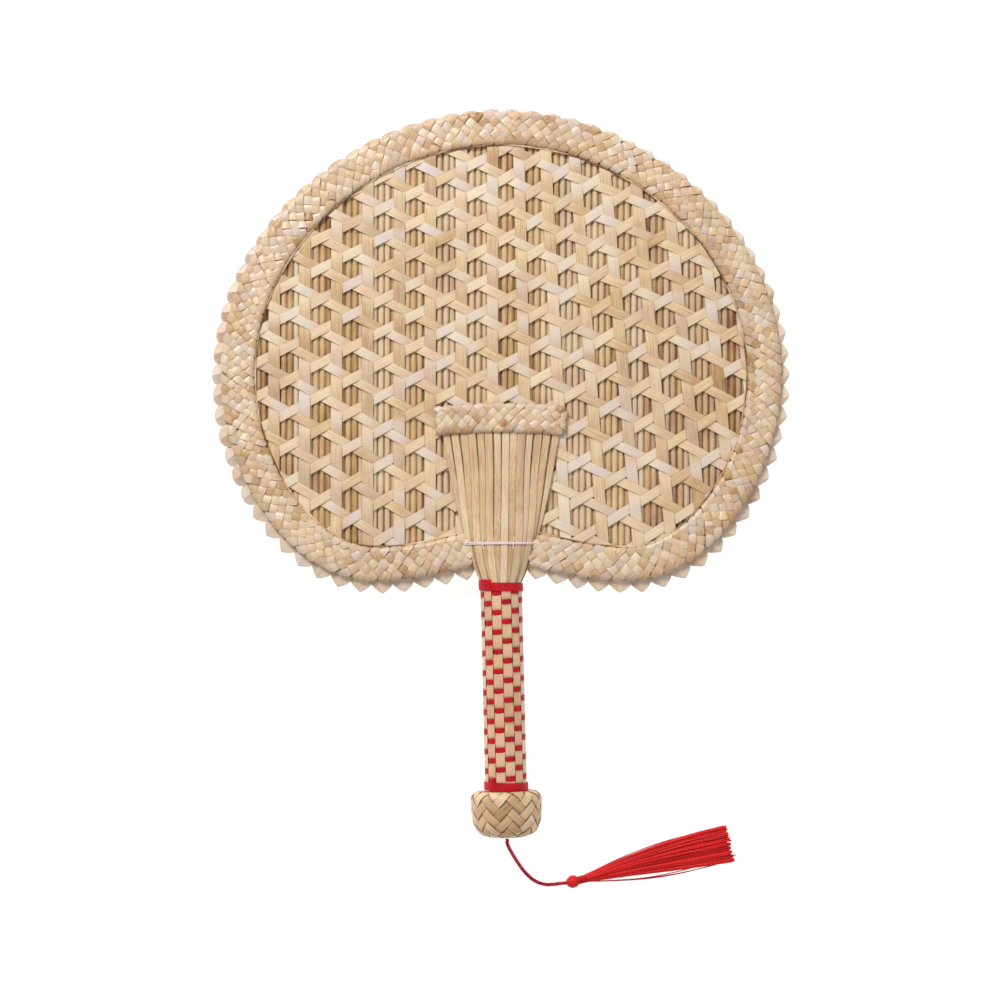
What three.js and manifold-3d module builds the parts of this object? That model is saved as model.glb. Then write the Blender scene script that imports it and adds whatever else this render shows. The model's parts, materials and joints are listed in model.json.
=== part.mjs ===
// Straw fan: a heart-shaped woven blade on a ribbon-woven handle, with a plaited knob and a cord tassel.
// Millimetres, +Z up. The fan lies face up on the ground plane, and +Y runs from the knob to the blade's top.
// Its origin is under the middle of the fan, and the tassel lies beside the knob.
import * as THREE from 'three';
import { mergeGeometries, mergeVertices } from 'three/addons/utils/BufferGeometryUtils.js';
import Module from 'manifold-3d';

const wasm = await Module();
wasm.setup();

// Clearances
const SEAT_GAP = 0.3;
const CUT_MARGIN = 20;

// Steps of halving, where a size is found by trying
const HALVINGS = 40;
const STEEPEST_TILT = Math.PI / 4;

// Blade outline to the outside of the border plait. Y is 0 at the top of the handle.
const BLADE_TOP = 237.5;
const BLADE_HALF_WIDTH = 141;
const WIDEST_AT = 104;
const CROWN_ROUNDING = 72;
const SHOULDER_ROUNDING = 76;
const HIP_ROUNDING = 50;
const LOBE_X = 62;
const LOBE_BOTTOM = 0;
const LOBE_OUTER_ROUNDING = 45;
const LOBE_INNER_ROUNDING = 18;
const NOTCH_X = 13;
const NOTCH_Y = 8;
const NOTCH_ROUNDING = 12;
const NOTCH_DROP = 3;
const OUTLINE_STEPS = 14;

// Stalk layer in the middle of the blade
const STALK_DIAMETER = 3;
const STALK_PITCH = 3.25;
const STALK_VALLEY = 0.9;

// Three-way net on each face
const NET_THICKNESS = 0.9;
const NET_PITCH = 15.6;
const UPRIGHT_STRIP_WIDTH = 5.2;
const SLANT_STRIP_WIDTH = 4.7;
const SLANT_SLOPE = 0.5;
const NET_START_X = 3.3;
const NET_START_Y = 117.8;
const NET_RIM = 1.2;

// Border plait and its sawtooth edging
const BORDER_WIDTH = 18;
const BORDER_THICKNESS = 1.6;
const BORDER_LAP = 10;
const TOOTH_PITCH = 10.4;
const TOOTH_HEIGHT_TOP = 0.8;
const TOOTH_HEIGHT_SIDE = 4;
const TOOTH_HEIGHT_LOBE = 5.5;

// Handle: a stalk bundle in a woven sleeve
const HANDLE_LENGTH = 103;
const HANDLE_LEAN = THREE.MathUtils.degToRad(1.4);
const BUNDLE_RADIUS = 8.4;
const RIBBON_THICKNESS = 0.5;
const STRAW_THICKNESS = 0.9;
const WARP_COUNT = 13;
const WARP_WIDTH = 4.3;
const WARP_STEPS = 3;
const BAND_HEIGHT = 4.5;
const BAND_THICKNESS = 0.6;
const ROUND_STEPS = 26;

// Throat splay, cap plait and thread tie
const SPLAY_TOP = 88;
const SPLAY_TOP_HALF_WIDTH = 31.5;
const SPLAY_BEND_HALF_WIDTH = 21.5;
const SPLAY_BEND_Y = 22;
const SPLAY_FLAT_AT = 62;
const FRONT_SPLAY_COUNT = 14;
const BACK_SPLAY_COUNT = 12;
const SPLAY_STEPS = 7;
const SPLAY_CORE_SHARE = 0.98;
const CAP_HALF_WIDTH = 33;
const CAP_BOTTOM = 75;
const CAP_HEIGHT = 15;
const CAP_THICKNESS = 1.6;
const CAP_DROP = 2;
const CAP_STEPS = 8;
const TIE_Y = 19.8;
const TIE_HEIGHT = 1.7;
const TIE_THICKNESS = 0.6;
const TIE_REACH = 0.96;
const TIE_STEPS = 12;

// Knob at the end of the handle
const KNOB_RADIUS = 17.8;
const KNOB_HEIGHT = 24;
const KNOB_RIM_ROUNDING = 2.5;
const KNOB_SIDE_FULLNESS = 0.85;
const KNOB_END_FULLNESS = 0.9;
const KNOB_WALL = 1.6;
const KNOB_SEAT_DEPTH = 14;
const KNOB_RIM_STEPS = 2;
const KNOB_WALL_STEPS = 6;

// Tassel on its cord. The cord's route is in plan from the top of the handle, with its height above ground.
const CORD_RADIUS = 0.7;
const CORD_SIDES = 8;
const CORD_STEP = 3.5;
const CORD_LEAD = 2.1;
const CORD_MEETS_BEAD_Y = -151;
const BEAD_RADIUS = 3;
const BEAD_SIDES = 16;
const BEAD_RINGS = 10;
const TASSEL_X = 36.2;
const TASSEL_Y = -150.4;
const TASSEL_TURN = THREE.MathUtils.degToRad(13.5);
const NECK_RADIUS = 2.05;
const NECK_LENGTH = 5.2;
const NECK_SIDES = 16;
const SKIRT_LENGTH = 73;
const SKIRT_HALF_WIDTH = 9.3;
const SKIRT_THICKNESS = 3;
const SKIRT_EARLY_FLARE = 0.5;
const SKIRT_LANDS_AT = 0.25;
const SKIRT_FALL = 12;
const SKIRT_SIDES = 12;
const SKIRT_STEPS = 8;

const cordEnding = [
  [5.6, -134.8, 14.6],
  [7.3, -138.1, 10.6],
  [8.9, -141.0, 6.4],
  [10.4, -143.6, 3.0],
  [12.0, -145.8, 1.3],
  [14.0, -147.9, 0.75],
  [16.3, -149.8, 0.75],
  [18.9, -151.2, 0.75],
  [21.7, -152.0, 0.75],
  [24.6, -152.2, 0.85],
  [27.4, -151.9, 1.3],
  [29.8, -151.5, 2.1],
];

// Levels through the blade, measured from its middle plane
const matHalf = STALK_DIAMETER / 2;
const netInner = matHalf + SEAT_GAP;
const netOuter = netInner + NET_THICKNESS;
const borderInner = netOuter + SEAT_GAP;
const borderOuter = borderInner + BORDER_THICKNESS;
const coreInset = BORDER_WIDTH - BORDER_LAP;

// Radii through the handle
const ribbonInner = BUNDLE_RADIUS + SEAT_GAP;
const ribbonOuter = ribbonInner + RIBBON_THICKNESS;
const warpInner = ribbonOuter + SEAT_GAP;
const warpOuter = warpInner + STRAW_THICKNESS;
const bandInner = warpOuter + SEAT_GAP;
const bandOuter = bandInner + BAND_THICKNESS;

// The sleeve's two ends along the handle, kept clear of the level throat and knob by the handle's lean
const sleeveHigh = -bandOuter * Math.sin(HANDLE_LEAN);
const sleeveLow = SEAT_GAP - HANDLE_LENGTH;

// Materials, matched to the photograph's straw, ribbon and thread
function finish(color, roughness) {
  return new THREE.MeshStandardMaterial({ color, roughness, metalness: 0 });
}
const stalkFinish = finish(0xb98a52, 0.7);
const netFinish = finish(0xdcb988, 0.5);
const plaitFinish = finish(0xd8c19c, 0.55);
const warpFinish = finish(0xdcb683, 0.5);
const knobFinish = finish(0xc49c6c, 0.6);
const ribbonFinish = finish(0xb3101c, 0.45);
const threadFinish = finish(0xece0da, 0.8);
const cordFinish = finish(0x8f1f38, 0.8);
const tasselFinish = finish(0xcf1c24, 0.75);

const fan = new THREE.Group();
const handle = new THREE.Group();
handle.rotation.z = HANDLE_LEAN;
fan.add(handle);

function addPiece(parent, name, geometry, material) {
  const mesh = new THREE.Mesh(geometry, material.clone());
  mesh.name = name;
  parent.add(mesh);
  return mesh;
}

// Booleans
function toSolid(geometry) {
  const bare = geometry.clone();
  bare.deleteAttribute('normal');
  bare.deleteAttribute('uv');
  const merged = mergeVertices(bare, 1e-4);
  const vertProperties = new Float32Array(merged.attributes.position.array);
  const triVerts = new Uint32Array(merged.index.array);
  return new wasm.Manifold(new wasm.Mesh({ numProp: 3, vertProperties, triVerts }));
}

function toGeometry(solid) {
  const mesh = solid.getMesh();
  const geometry = new THREE.BufferGeometry();
  geometry.setAttribute('position', new THREE.BufferAttribute(mesh.vertProperties, 3));
  geometry.setIndex(new THREE.BufferAttribute(mesh.triVerts, 1));
  geometry.computeVertexNormals();
  return geometry;
}

// A flat plate of the given outline between two levels
function plate(outline, low, high) {
  const shape = new THREE.Shape(outline);
  const geometry = new THREE.ExtrudeGeometry(shape, { depth: high - low, bevelEnabled: false });
  geometry.translate(0, 0, low);
  return geometry;
}

// A closed solid through rings of points, which all have the same count and run the same way
function loft(rings) {
  const count = rings[0].length;
  const last = rings.length - 1;
  const points = rings.flat();
  const index = [];
  for (let r = 0; r < last; r += 1) {
    for (let i = 0; i < count; i += 1) {
      const j = (i + 1) % count;
      const a = r * count + i;
      const b = r * count + j;
      const c = (r + 1) * count + i;
      const d = (r + 1) * count + j;
      index.push(a, b, d, a, d, c);
    }
  }
  for (const [r, turned] of [[0, true], [last, false]]) {
    const centre = points.length;
    points.push(rings[r].reduce((sum, p) => sum.add(p), new THREE.Vector3()).divideScalar(count));
    for (let i = 0; i < count; i += 1) {
      const a = r * count + i;
      const b = r * count + (i + 1) % count;
      index.push(...(turned ? [centre, b, a] : [centre, a, b]));
    }
  }
  const geometry = new THREE.BufferGeometry().setFromPoints(points);
  geometry.setIndex(signedVolume(points, index) < 0 ? index.reverse() : index);
  geometry.computeVertexNormals();
  return geometry;
}

function signedVolume(points, index) {
  const normal = new THREE.Vector3();
  let volume = 0;
  for (let i = 0; i < index.length; i += 3) {
    normal.crossVectors(points[index[i + 1]], points[index[i + 2]]);
    volume += points[index[i]].dot(normal);
  }
  return volume;
}

// Where a test that holds at the low end stops holding on the way to the high end
function turningPoint(low, high, test) {
  let from = low;
  let to = high;
  for (let i = 0; i < HALVINGS; i += 1) {
    const middle = (from + to) / 2;
    if (test(middle)) {
      from = middle;
    } else {
      to = middle;
    }
  }
  return from;
}

// Blade outline: three curves down the right side, mirrored for the left
const crown = new THREE.CubicBezierCurve(
  new THREE.Vector2(0, BLADE_TOP),
  new THREE.Vector2(CROWN_ROUNDING, BLADE_TOP),
  new THREE.Vector2(BLADE_HALF_WIDTH, WIDEST_AT + SHOULDER_ROUNDING),
  new THREE.Vector2(BLADE_HALF_WIDTH, WIDEST_AT),
);
const hip = new THREE.CubicBezierCurve(
  new THREE.Vector2(BLADE_HALF_WIDTH, WIDEST_AT),
  new THREE.Vector2(BLADE_HALF_WIDTH, WIDEST_AT - HIP_ROUNDING),
  new THREE.Vector2(LOBE_X + LOBE_OUTER_ROUNDING, LOBE_BOTTOM),
  new THREE.Vector2(LOBE_X, LOBE_BOTTOM),
);
const lobe = new THREE.CubicBezierCurve(
  new THREE.Vector2(LOBE_X, LOBE_BOTTOM),
  new THREE.Vector2(LOBE_X - LOBE_INNER_ROUNDING, LOBE_BOTTOM),
  new THREE.Vector2(NOTCH_X + NOTCH_ROUNDING, NOTCH_Y - NOTCH_DROP),
  new THREE.Vector2(NOTCH_X, NOTCH_Y),
);

// One point of the right side at a share of its curve, moved in by an inset along its normal
function sidePoint(curve, share, inset) {
  const along = curve.getTangentAt(share);
  const point = curve.getPointAt(share);
  return new THREE.Vector2(point.x + along.y * inset, point.y - along.x * inset);
}

function rightSide(inset, steps) {
  const points = [];
  for (const curve of [crown, hip, lobe]) {
    for (let i = 0; i < steps; i += 1) {
      points.push(sidePoint(curve, i / steps, inset));
    }
  }
  points.push(sidePoint(lobe, 1, inset));
  return points;
}

// Both sides in one run, from the left notch over the top to the right notch
function bothSides(right) {
  const left = right.slice(1).reverse().map((p) => new THREE.Vector2(-p.x, p.y));
  return [...left, ...right];
}

// Half the width of the splayed throat at a height above the handle
const splayEdge = new THREE.QuadraticBezierCurve(
  new THREE.Vector2(warpOuter, 0),
  new THREE.Vector2(SPLAY_BEND_HALF_WIDTH, SPLAY_BEND_Y),
  new THREE.Vector2(SPLAY_TOP_HALF_WIDTH, SPLAY_TOP),
);
function splayHalfWidth(y) {
  const share = turningPoint(0, 1, (s) => splayEdge.getPoint(s).y < y);
  return splayEdge.getPoint(share).x;
}

// A point on the throat: across runs from -1 to 1, and level is the height above the straws' underside
function splayPoint(across, y, level, face) {
  const flat = THREE.MathUtils.smoothstep(y, 0, SPLAY_FLAT_AT);
  const angle = across * Math.PI / 2;
  const halfWidth = splayHalfWidth(y) - (STRAW_THICKNESS - level) * (1 - flat);
  const rise = THREE.MathUtils.lerp(warpInner + level, borderInner + level, flat);
  const x = halfWidth * THREE.MathUtils.lerp(Math.sin(angle), across, flat);
  const z = rise * THREE.MathUtils.lerp(Math.cos(angle), 1, flat);
  return new THREE.Vector3(x, y, face * z);
}

// What the throat takes out of the blade's layers, with a clearance all round
function throatOutline() {
  const right = [];
  for (let i = 0; i <= OUTLINE_STEPS; i += 1) {
    const point = splayEdge.getPoint(i / OUTLINE_STEPS);
    right.push(new THREE.Vector2(point.x + SEAT_GAP, point.y));
  }
  right.unshift(new THREE.Vector2(warpOuter + SEAT_GAP, -CUT_MARGIN));
  right.push(new THREE.Vector2(SPLAY_TOP_HALF_WIDTH + SEAT_GAP, SPLAY_TOP + SEAT_GAP));
  const left = right.slice().reverse().map((p) => new THREE.Vector2(-p.x, p.y));
  return [...right, ...left];
}
const throatCutter = toSolid(plate(throatOutline(), -CUT_MARGIN, CUT_MARGIN));

// Stalk layer: round stalks side by side, drawn as one ribbed sheet with its outline cut to the blade
function stalkMat() {
  const ribs = Math.ceil(BLADE_HALF_WIDTH / STALK_PITCH);
  const front = [];
  for (let i = -ribs; i < ribs; i += 1) {
    front.push(new THREE.Vector2(i * STALK_PITCH, STALK_VALLEY));
    front.push(new THREE.Vector2((i + 0.5) * STALK_PITCH, matHalf));
  }
  const back = front.slice().reverse().map((p) => new THREE.Vector2(p.x, -p.y));
  const length = BLADE_TOP + 2 * CUT_MARGIN;
  const sheet = new THREE.ExtrudeGeometry(new THREE.Shape([...back, ...front]), {
    depth: length,
    bevelEnabled: false,
  });
  sheet.rotateX(-Math.PI / 2);
  sheet.translate(0, -CUT_MARGIN, 0);
  const trim = plate(bothSides(rightSide(coreInset, OUTLINE_STEPS)), -CUT_MARGIN, CUT_MARGIN);
  return toGeometry(toSolid(sheet).intersect(toSolid(trim)).subtract(throatCutter));
}

// Hexagonal gaps of the net, kept where the whole gap lies inside the border and beside the throat
function netGaps() {
  const halfWide = (NET_PITCH - UPRIGHT_STRIP_WIDTH) / 2;
  const halfHigh = NET_PITCH / 2 - SLANT_STRIP_WIDTH / 2 * Math.hypot(1, SLANT_SLOPE);
  const sideHigh = halfHigh - SLANT_SLOPE * halfWide;
  const corners = [
    [0, halfHigh],
    [halfWide, sideHigh],
    [halfWide, -sideHigh],
    [0, -halfHigh],
    [-halfWide, -sideHigh],
    [-halfWide, sideHigh],
  ];
  const inside = bothSides(rightSide(BORDER_WIDTH + NET_RIM, OUTLINE_STEPS));
  const columns = Math.ceil(BLADE_HALF_WIDTH / NET_PITCH);
  const rows = Math.ceil(BLADE_TOP / NET_PITCH);
  const gaps = [];
  for (let column = -columns; column <= columns; column += 1) {
    for (let row = -rows; row <= rows; row += 1) {
      const x = NET_START_X + column * NET_PITCH;
      const y = NET_START_Y + (row + Math.abs(column % 2) / 2) * NET_PITCH;
      const gap = corners.map(([dx, dy]) => new THREE.Vector2(x + dx, y + dy));
      if (gap.every((p) => holds(inside, p) && !nearThroat(p))) {
        gaps.push(gap);
      }
    }
  }
  return gaps;
}

function nearThroat(point) {
  if (point.y > CAP_BOTTOM + CAP_HEIGHT + NET_RIM) {
    return false;
  }
  const height = THREE.MathUtils.clamp(point.y, 0, SPLAY_TOP);
  const reach = point.y > CAP_BOTTOM - NET_RIM ? CAP_HALF_WIDTH : splayHalfWidth(height);
  return Math.abs(point.x) < reach + NET_RIM;
}

function holds(outline, point) {
  let inside = false;
  for (let i = 0, j = outline.length - 1; i < outline.length; j = i, i += 1) {
    const a = outline[i];
    const b = outline[j];
    const crosses = (a.y > point.y) !== (b.y > point.y);
    if (crosses && point.x < (b.x - a.x) * (point.y - a.y) / (b.y - a.y) + a.x) {
      inside = !inside;
    }
  }
  return inside;
}

function net(face) {
  const outline = bothSides(rightSide(coreInset, OUTLINE_STEPS));
  const [low, high] = face > 0 ? [netInner, netOuter] : [-netOuter, -netInner];
  const gaps = mergeGeometries(netGaps().map((gap) => plate(gap, -CUT_MARGIN, CUT_MARGIN)));
  return toGeometry(toSolid(plate(outline, low, high)).subtract(toSolid(gaps)).subtract(throatCutter));
}

// Border plait: a band inside the outline, open at the throat
function borderPlait(face) {
  const outer = bothSides(rightSide(0, OUTLINE_STEPS));
  const inner = bothSides(rightSide(BORDER_WIDTH, OUTLINE_STEPS));
  const [low, high] = face > 0 ? [borderInner, borderOuter] : [-borderOuter, -borderInner];
  const band = toSolid(plate([...outer, ...inner.reverse()], low, high));
  return toGeometry(band.subtract(throatCutter));
}

// Sawtooth edging: a folded straw band between the two plaits, with points outside them
function toothHeight(y) {
  const side = THREE.MathUtils.smoothstep(y, WIDEST_AT, BLADE_TOP);
  const low = THREE.MathUtils.smoothstep(y, LOBE_BOTTOM, WIDEST_AT);
  const below = THREE.MathUtils.lerp(TOOTH_HEIGHT_LOBE, TOOTH_HEIGHT_SIDE, low);
  return THREE.MathUtils.lerp(below, TOOTH_HEIGHT_TOP, side);
}

function sawtoothEdging() {
  const toothed = [];
  for (const curve of [crown, hip, lobe]) {
    const teeth = Math.max(1, Math.round(curve.getLength() / TOOTH_PITCH));
    for (let i = 0; i < teeth; i += 1) {
      toothed.push(sidePoint(curve, i / teeth, 0));
      const share = (i + 0.5) / teeth;
      toothed.push(sidePoint(curve, share, -toothHeight(curve.getPointAt(share).y)));
    }
  }
  toothed.push(sidePoint(lobe, 1, 0));
  const inner = bothSides(rightSide(coreInset - SEAT_GAP, OUTLINE_STEPS));
  const band = plate([...bothSides(toothed), ...inner.reverse()], -netOuter, netOuter);
  return toGeometry(toSolid(band).subtract(throatCutter));
}

// Stalk bundle: round in the handle, spreading flat into the throat under the splay
function stalkBundle() {
  const rings = [];
  const round = [];
  for (let i = 0; i < ROUND_STEPS; i += 1) {
    round.push(-1 + (2 * i) / ROUND_STEPS);
  }
  for (const y of [-HANDLE_LENGTH - KNOB_SEAT_DEPTH, 0]) {
    rings.push(round.map((turn) => new THREE.Vector3(
      BUNDLE_RADIUS * Math.sin(turn * Math.PI) - y * Math.tan(HANDLE_LEAN),
      y,
      BUNDLE_RADIUS * Math.cos(turn * Math.PI),
    )));
  }
  for (let i = 0; i <= SPLAY_STEPS; i += 1) {
    const y = SEAT_GAP + (SPLAY_TOP - SEAT_GAP) * i / SPLAY_STEPS;
    rings.push(round.map((turn) => {
      const face = Math.abs(turn) > 0.5 ? -1 : 1;
      const across = face > 0 ? turn * 2 : Math.sign(turn) * (2 - 2 * Math.abs(turn));
      return splayPoint(across * SPLAY_CORE_SHARE, y, -2 * SEAT_GAP, face);
    }));
  }
  return loft(rings);
}

// One flat straw of the splay, from the top of the handle to under the cap
function splayStraw(number, count, face) {
  const slit = SEAT_GAP / (Math.PI * warpInner);
  const from = -1 + (2 * number) / count + slit;
  const to = -1 + (2 * (number + 1)) / count - slit;
  const rings = [];
  for (let i = 0; i <= SPLAY_STEPS; i += 1) {
    const y = SEAT_GAP + (SPLAY_TOP - SEAT_GAP) * i / SPLAY_STEPS;
    rings.push([
      splayPoint(from, y, 0, face),
      splayPoint(to, y, 0, face),
      splayPoint(to, y, STRAW_THICKNESS, face),
      splayPoint(from, y, STRAW_THICKNESS, face),
    ]);
  }
  return loft(rings);
}

// Cap plait: a slightly arched band over the top ends of the splay
function capPlait(face) {
  const outline = [];
  for (const [edge, turn] of [[CAP_BOTTOM, 1], [CAP_BOTTOM + CAP_HEIGHT, -1]]) {
    for (let i = 0; i <= CAP_STEPS; i += 1) {
      const share = turn * (-1 + (2 * i) / CAP_STEPS);
      outline.push(new THREE.Vector2(share * CAP_HALF_WIDTH, edge - CAP_DROP * share * share));
    }
  }
  const inner = borderInner + STRAW_THICKNESS + SEAT_GAP;
  const outer = inner + CAP_THICKNESS;
  return face > 0 ? plate(outline, inner, outer) : plate(outline, -outer, -inner);
}

// Thread tie: a narrow wrap of thread that lies over the straws across one face of the throat
function threadTie(face) {
  const rings = [];
  const inner = STRAW_THICKNESS + SEAT_GAP;
  for (let i = 0; i <= TIE_STEPS; i += 1) {
    const across = TIE_REACH * (-1 + (2 * i) / TIE_STEPS);
    rings.push([
      splayPoint(across, TIE_Y - TIE_HEIGHT / 2, inner, face),
      splayPoint(across, TIE_Y + TIE_HEIGHT / 2, inner, face),
      splayPoint(across, TIE_Y + TIE_HEIGHT / 2, inner + TIE_THICKNESS, face),
      splayPoint(across, TIE_Y - TIE_HEIGHT / 2, inner + TIE_THICKNESS, face),
    ]);
  }
  return loft(rings);
}

// Handle sleeve
function tubeAlongHandle(inner, outer, low, high) {
  const profile = [
    new THREE.Vector2(inner, low),
    new THREE.Vector2(outer, low),
    new THREE.Vector2(outer, high),
    new THREE.Vector2(inner, high),
    new THREE.Vector2(inner, low),
  ];
  return new THREE.LatheGeometry(profile, ROUND_STEPS);
}

function warpStrip(number) {
  const middle = (number * 2 * Math.PI) / WARP_COUNT + Math.PI / 2;
  const half = WARP_WIDTH / 2 / ((warpInner + warpOuter) / 2);
  const section = [];
  for (const [radius, turn] of [[warpOuter, 1], [warpInner, -1]]) {
    for (let i = 0; i <= WARP_STEPS; i += 1) {
      const angle = middle + turn * half * (-1 + (2 * i) / WARP_STEPS);
      section.push([radius * Math.cos(angle), radius * Math.sin(angle)]);
    }
  }
  return loft([sleeveLow, sleeveHigh].map(
    (y) => section.map(([x, z]) => new THREE.Vector3(x, y, z)),
  ));
}

// Knob: a plaited cup over its filling, on the end of the bundle. Heights run down from the handle's end.
function knobProfile(inset) {
  const top = -HANDLE_LENGTH - inset;
  const radius = KNOB_RADIUS - inset;
  const height = KNOB_HEIGHT - 2 * inset;
  const rounding = KNOB_RIM_ROUNDING;
  const wall = new THREE.CubicBezierCurve(
    new THREE.Vector2(radius, top - rounding),
    new THREE.Vector2(radius, top - height * KNOB_SIDE_FULLNESS),
    new THREE.Vector2(radius * KNOB_END_FULLNESS, top - height),
    new THREE.Vector2(0, top - height),
  );
  const rim = [];
  for (let i = 0; i < KNOB_RIM_STEPS; i += 1) {
    const angle = (i / KNOB_RIM_STEPS) * Math.PI / 2;
    rim.push(new THREE.Vector2(
      radius - rounding + rounding * Math.sin(angle),
      top - rounding + rounding * Math.cos(angle),
    ));
  }
  return [...rim, ...wall.getPoints(KNOB_WALL_STEPS)];
}

function knobShell() {
  const outer = knobProfile(0);
  const inner = knobProfile(KNOB_WALL);
  const hole = CORD_RADIUS + SEAT_GAP;
  outer[outer.length - 1].x = hole;
  inner[inner.length - 1].x = hole;
  const mouth = BUNDLE_RADIUS + SEAT_GAP;
  const profile = [
    new THREE.Vector2(mouth, outer[0].y),
    ...outer,
    ...inner.reverse(),
    new THREE.Vector2(mouth, inner[inner.length - 1].y),
    new THREE.Vector2(mouth, outer[0].y),
  ];
  return new THREE.LatheGeometry(profile.reverse(), ROUND_STEPS);
}

function knobFilling() {
  const outer = knobProfile(KNOB_WALL + SEAT_GAP);
  const mouth = BUNDLE_RADIUS + SEAT_GAP;
  const seat = -HANDLE_LENGTH - KNOB_SEAT_DEPTH - SEAT_GAP;
  const profile = [
    new THREE.Vector2(0, seat),
    new THREE.Vector2(mouth, seat),
    new THREE.Vector2(mouth, outer[0].y),
    ...outer,
  ];
  return new THREE.LatheGeometry(profile.reverse(), ROUND_STEPS);
}

// Blade
addPiece(fan, 'stalk_mat', stalkMat(), stalkFinish);
addPiece(fan, 'front_net', net(1), netFinish);
addPiece(fan, 'back_net', net(-1), netFinish);
addPiece(fan, 'front_border_plait', borderPlait(1), plaitFinish);
addPiece(fan, 'back_border_plait', borderPlait(-1), plaitFinish);
addPiece(fan, 'sawtooth_edging', sawtoothEdging(), plaitFinish);

// Throat
addPiece(fan, 'stalk_bundle', stalkBundle(), stalkFinish);
for (const [side, count, face] of [['front', FRONT_SPLAY_COUNT, 1], ['back', BACK_SPLAY_COUNT, -1]]) {
  for (let i = 0; i < count; i += 1) {
    const name = `${side}_splay_straw_${String(i + 1).padStart(2, '0')}`;
    addPiece(fan, name, splayStraw(i, count, face), netFinish);
  }
  addPiece(fan, `${side}_cap_plait`, capPlait(face), plaitFinish);
  addPiece(fan, `${side}_thread_tie`, threadTie(face), threadFinish);
}

// Handle and knob
const weftRibbon = tubeAlongHandle(ribbonInner, ribbonOuter, sleeveLow, sleeveHigh);
addPiece(handle, 'weft_ribbon', weftRibbon, ribbonFinish);
for (let i = 0; i < WARP_COUNT; i += 1) {
  addPiece(handle, `warp_strip_${String(i + 1).padStart(2, '0')}`, warpStrip(i), warpFinish);
}
const topBand = tubeAlongHandle(bandInner, bandOuter, sleeveHigh - BAND_HEIGHT, sleeveHigh);
const lowBand = tubeAlongHandle(bandInner, bandOuter, sleeveLow, sleeveLow + BAND_HEIGHT);
addPiece(handle, 'top_red_band', topBand, ribbonFinish);
addPiece(handle, 'bottom_red_band', lowBand, ribbonFinish);
addPiece(handle, 'knob_shell', knobShell(), knobFinish);
addPiece(handle, 'knob_filling', knobFilling(), stalkFinish);

// The fan lies on its knob and on the far edge of its back border, both at the same level
function lowest(name) {
  return new THREE.Box3().setFromObject(fan.getObjectByName(name), true).min.z;
}

function knobStaysHigher(tilt) {
  fan.rotation.x = tilt;
  fan.updateMatrixWorld(true);
  return lowest('knob_shell') >= lowest('back_border_plait');
}
fan.rotation.x = turningPoint(-STEEPEST_TILT, STEEPEST_TILT, knobStaysHigher);
fan.updateMatrixWorld(true);
const extent = new THREE.Box3().setFromObject(fan, true);
const middle = extent.getCenter(new THREE.Vector3());
fan.position.set(-middle.x, -middle.y, -extent.min.z);
fan.updateMatrixWorld(true);

// Tassel: cord from the knob's end, bead, wrapped neck and thread skirt, lying on the ground
const tassel = new THREE.Group();
tassel.position.set(-middle.x, -middle.y, 0);
tassel.updateMatrixWorld(true);

function cordRoute() {
  const knobEnd = -HANDLE_LENGTH - KNOB_HEIGHT - SEAT_GAP;
  const exit = handle.localToWorld(new THREE.Vector3(0, knobEnd, 0));
  const onward = handle.localToWorld(new THREE.Vector3(0, knobEnd - CORD_LEAD, 0));
  const route = [tassel.worldToLocal(exit), tassel.worldToLocal(onward)];
  for (const [x, y, z] of cordEnding) {
    route.push(new THREE.Vector3(x, y, z));
  }
  const reach = BEAD_RADIUS + SEAT_GAP;
  route.push(new THREE.Vector3(TASSEL_X - reach, CORD_MEETS_BEAD_Y, BEAD_RADIUS));
  return new THREE.CatmullRomCurve3(route, false, 'centripetal');
}

function tasselCord() {
  const section = new THREE.Shape();
  section.absarc(0, 0, CORD_RADIUS, 0, 2 * Math.PI, false);
  const route = cordRoute();
  const steps = Math.round(route.getLength() / CORD_STEP);
  return new THREE.ExtrudeGeometry(section, {
    steps,
    curveSegments: CORD_SIDES / 2,
    extrudePath: route,
  });
}

function tasselSkirt() {
  const start = BEAD_RADIUS + NECK_LENGTH + 2 * SEAT_GAP;
  const rings = [];
  for (let i = 0; i <= SKIRT_STEPS; i += 1) {
    const share = i / SKIRT_STEPS;
    const spread = THREE.MathUtils.lerp(share, Math.sin(share * Math.PI / 2), SKIRT_EARLY_FLARE);
    const halfWide = THREE.MathUtils.lerp(NECK_RADIUS, SKIRT_HALF_WIDTH, spread);
    const low = Math.max(0, (BEAD_RADIUS - NECK_RADIUS) * (1 - share / SKIRT_LANDS_AT));
    const high = Math.max(SKIRT_THICKNESS, BEAD_RADIUS + NECK_RADIUS - SKIRT_FALL * share);
    const ring = [];
    for (let k = 0; k < SKIRT_SIDES; k += 1) {
      const angle = (k + 0.5) * 2 * Math.PI / SKIRT_SIDES;
      const y = halfWide * Math.cos(angle);
      const z = (low + high) / 2 + (high - low) / 2 * Math.sin(angle) / Math.cos(Math.PI / SKIRT_SIDES);
      ring.push(new THREE.Vector3(start + share * SKIRT_LENGTH, y, z));
    }
    rings.push(ring);
  }
  return loft(rings);
}

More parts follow.
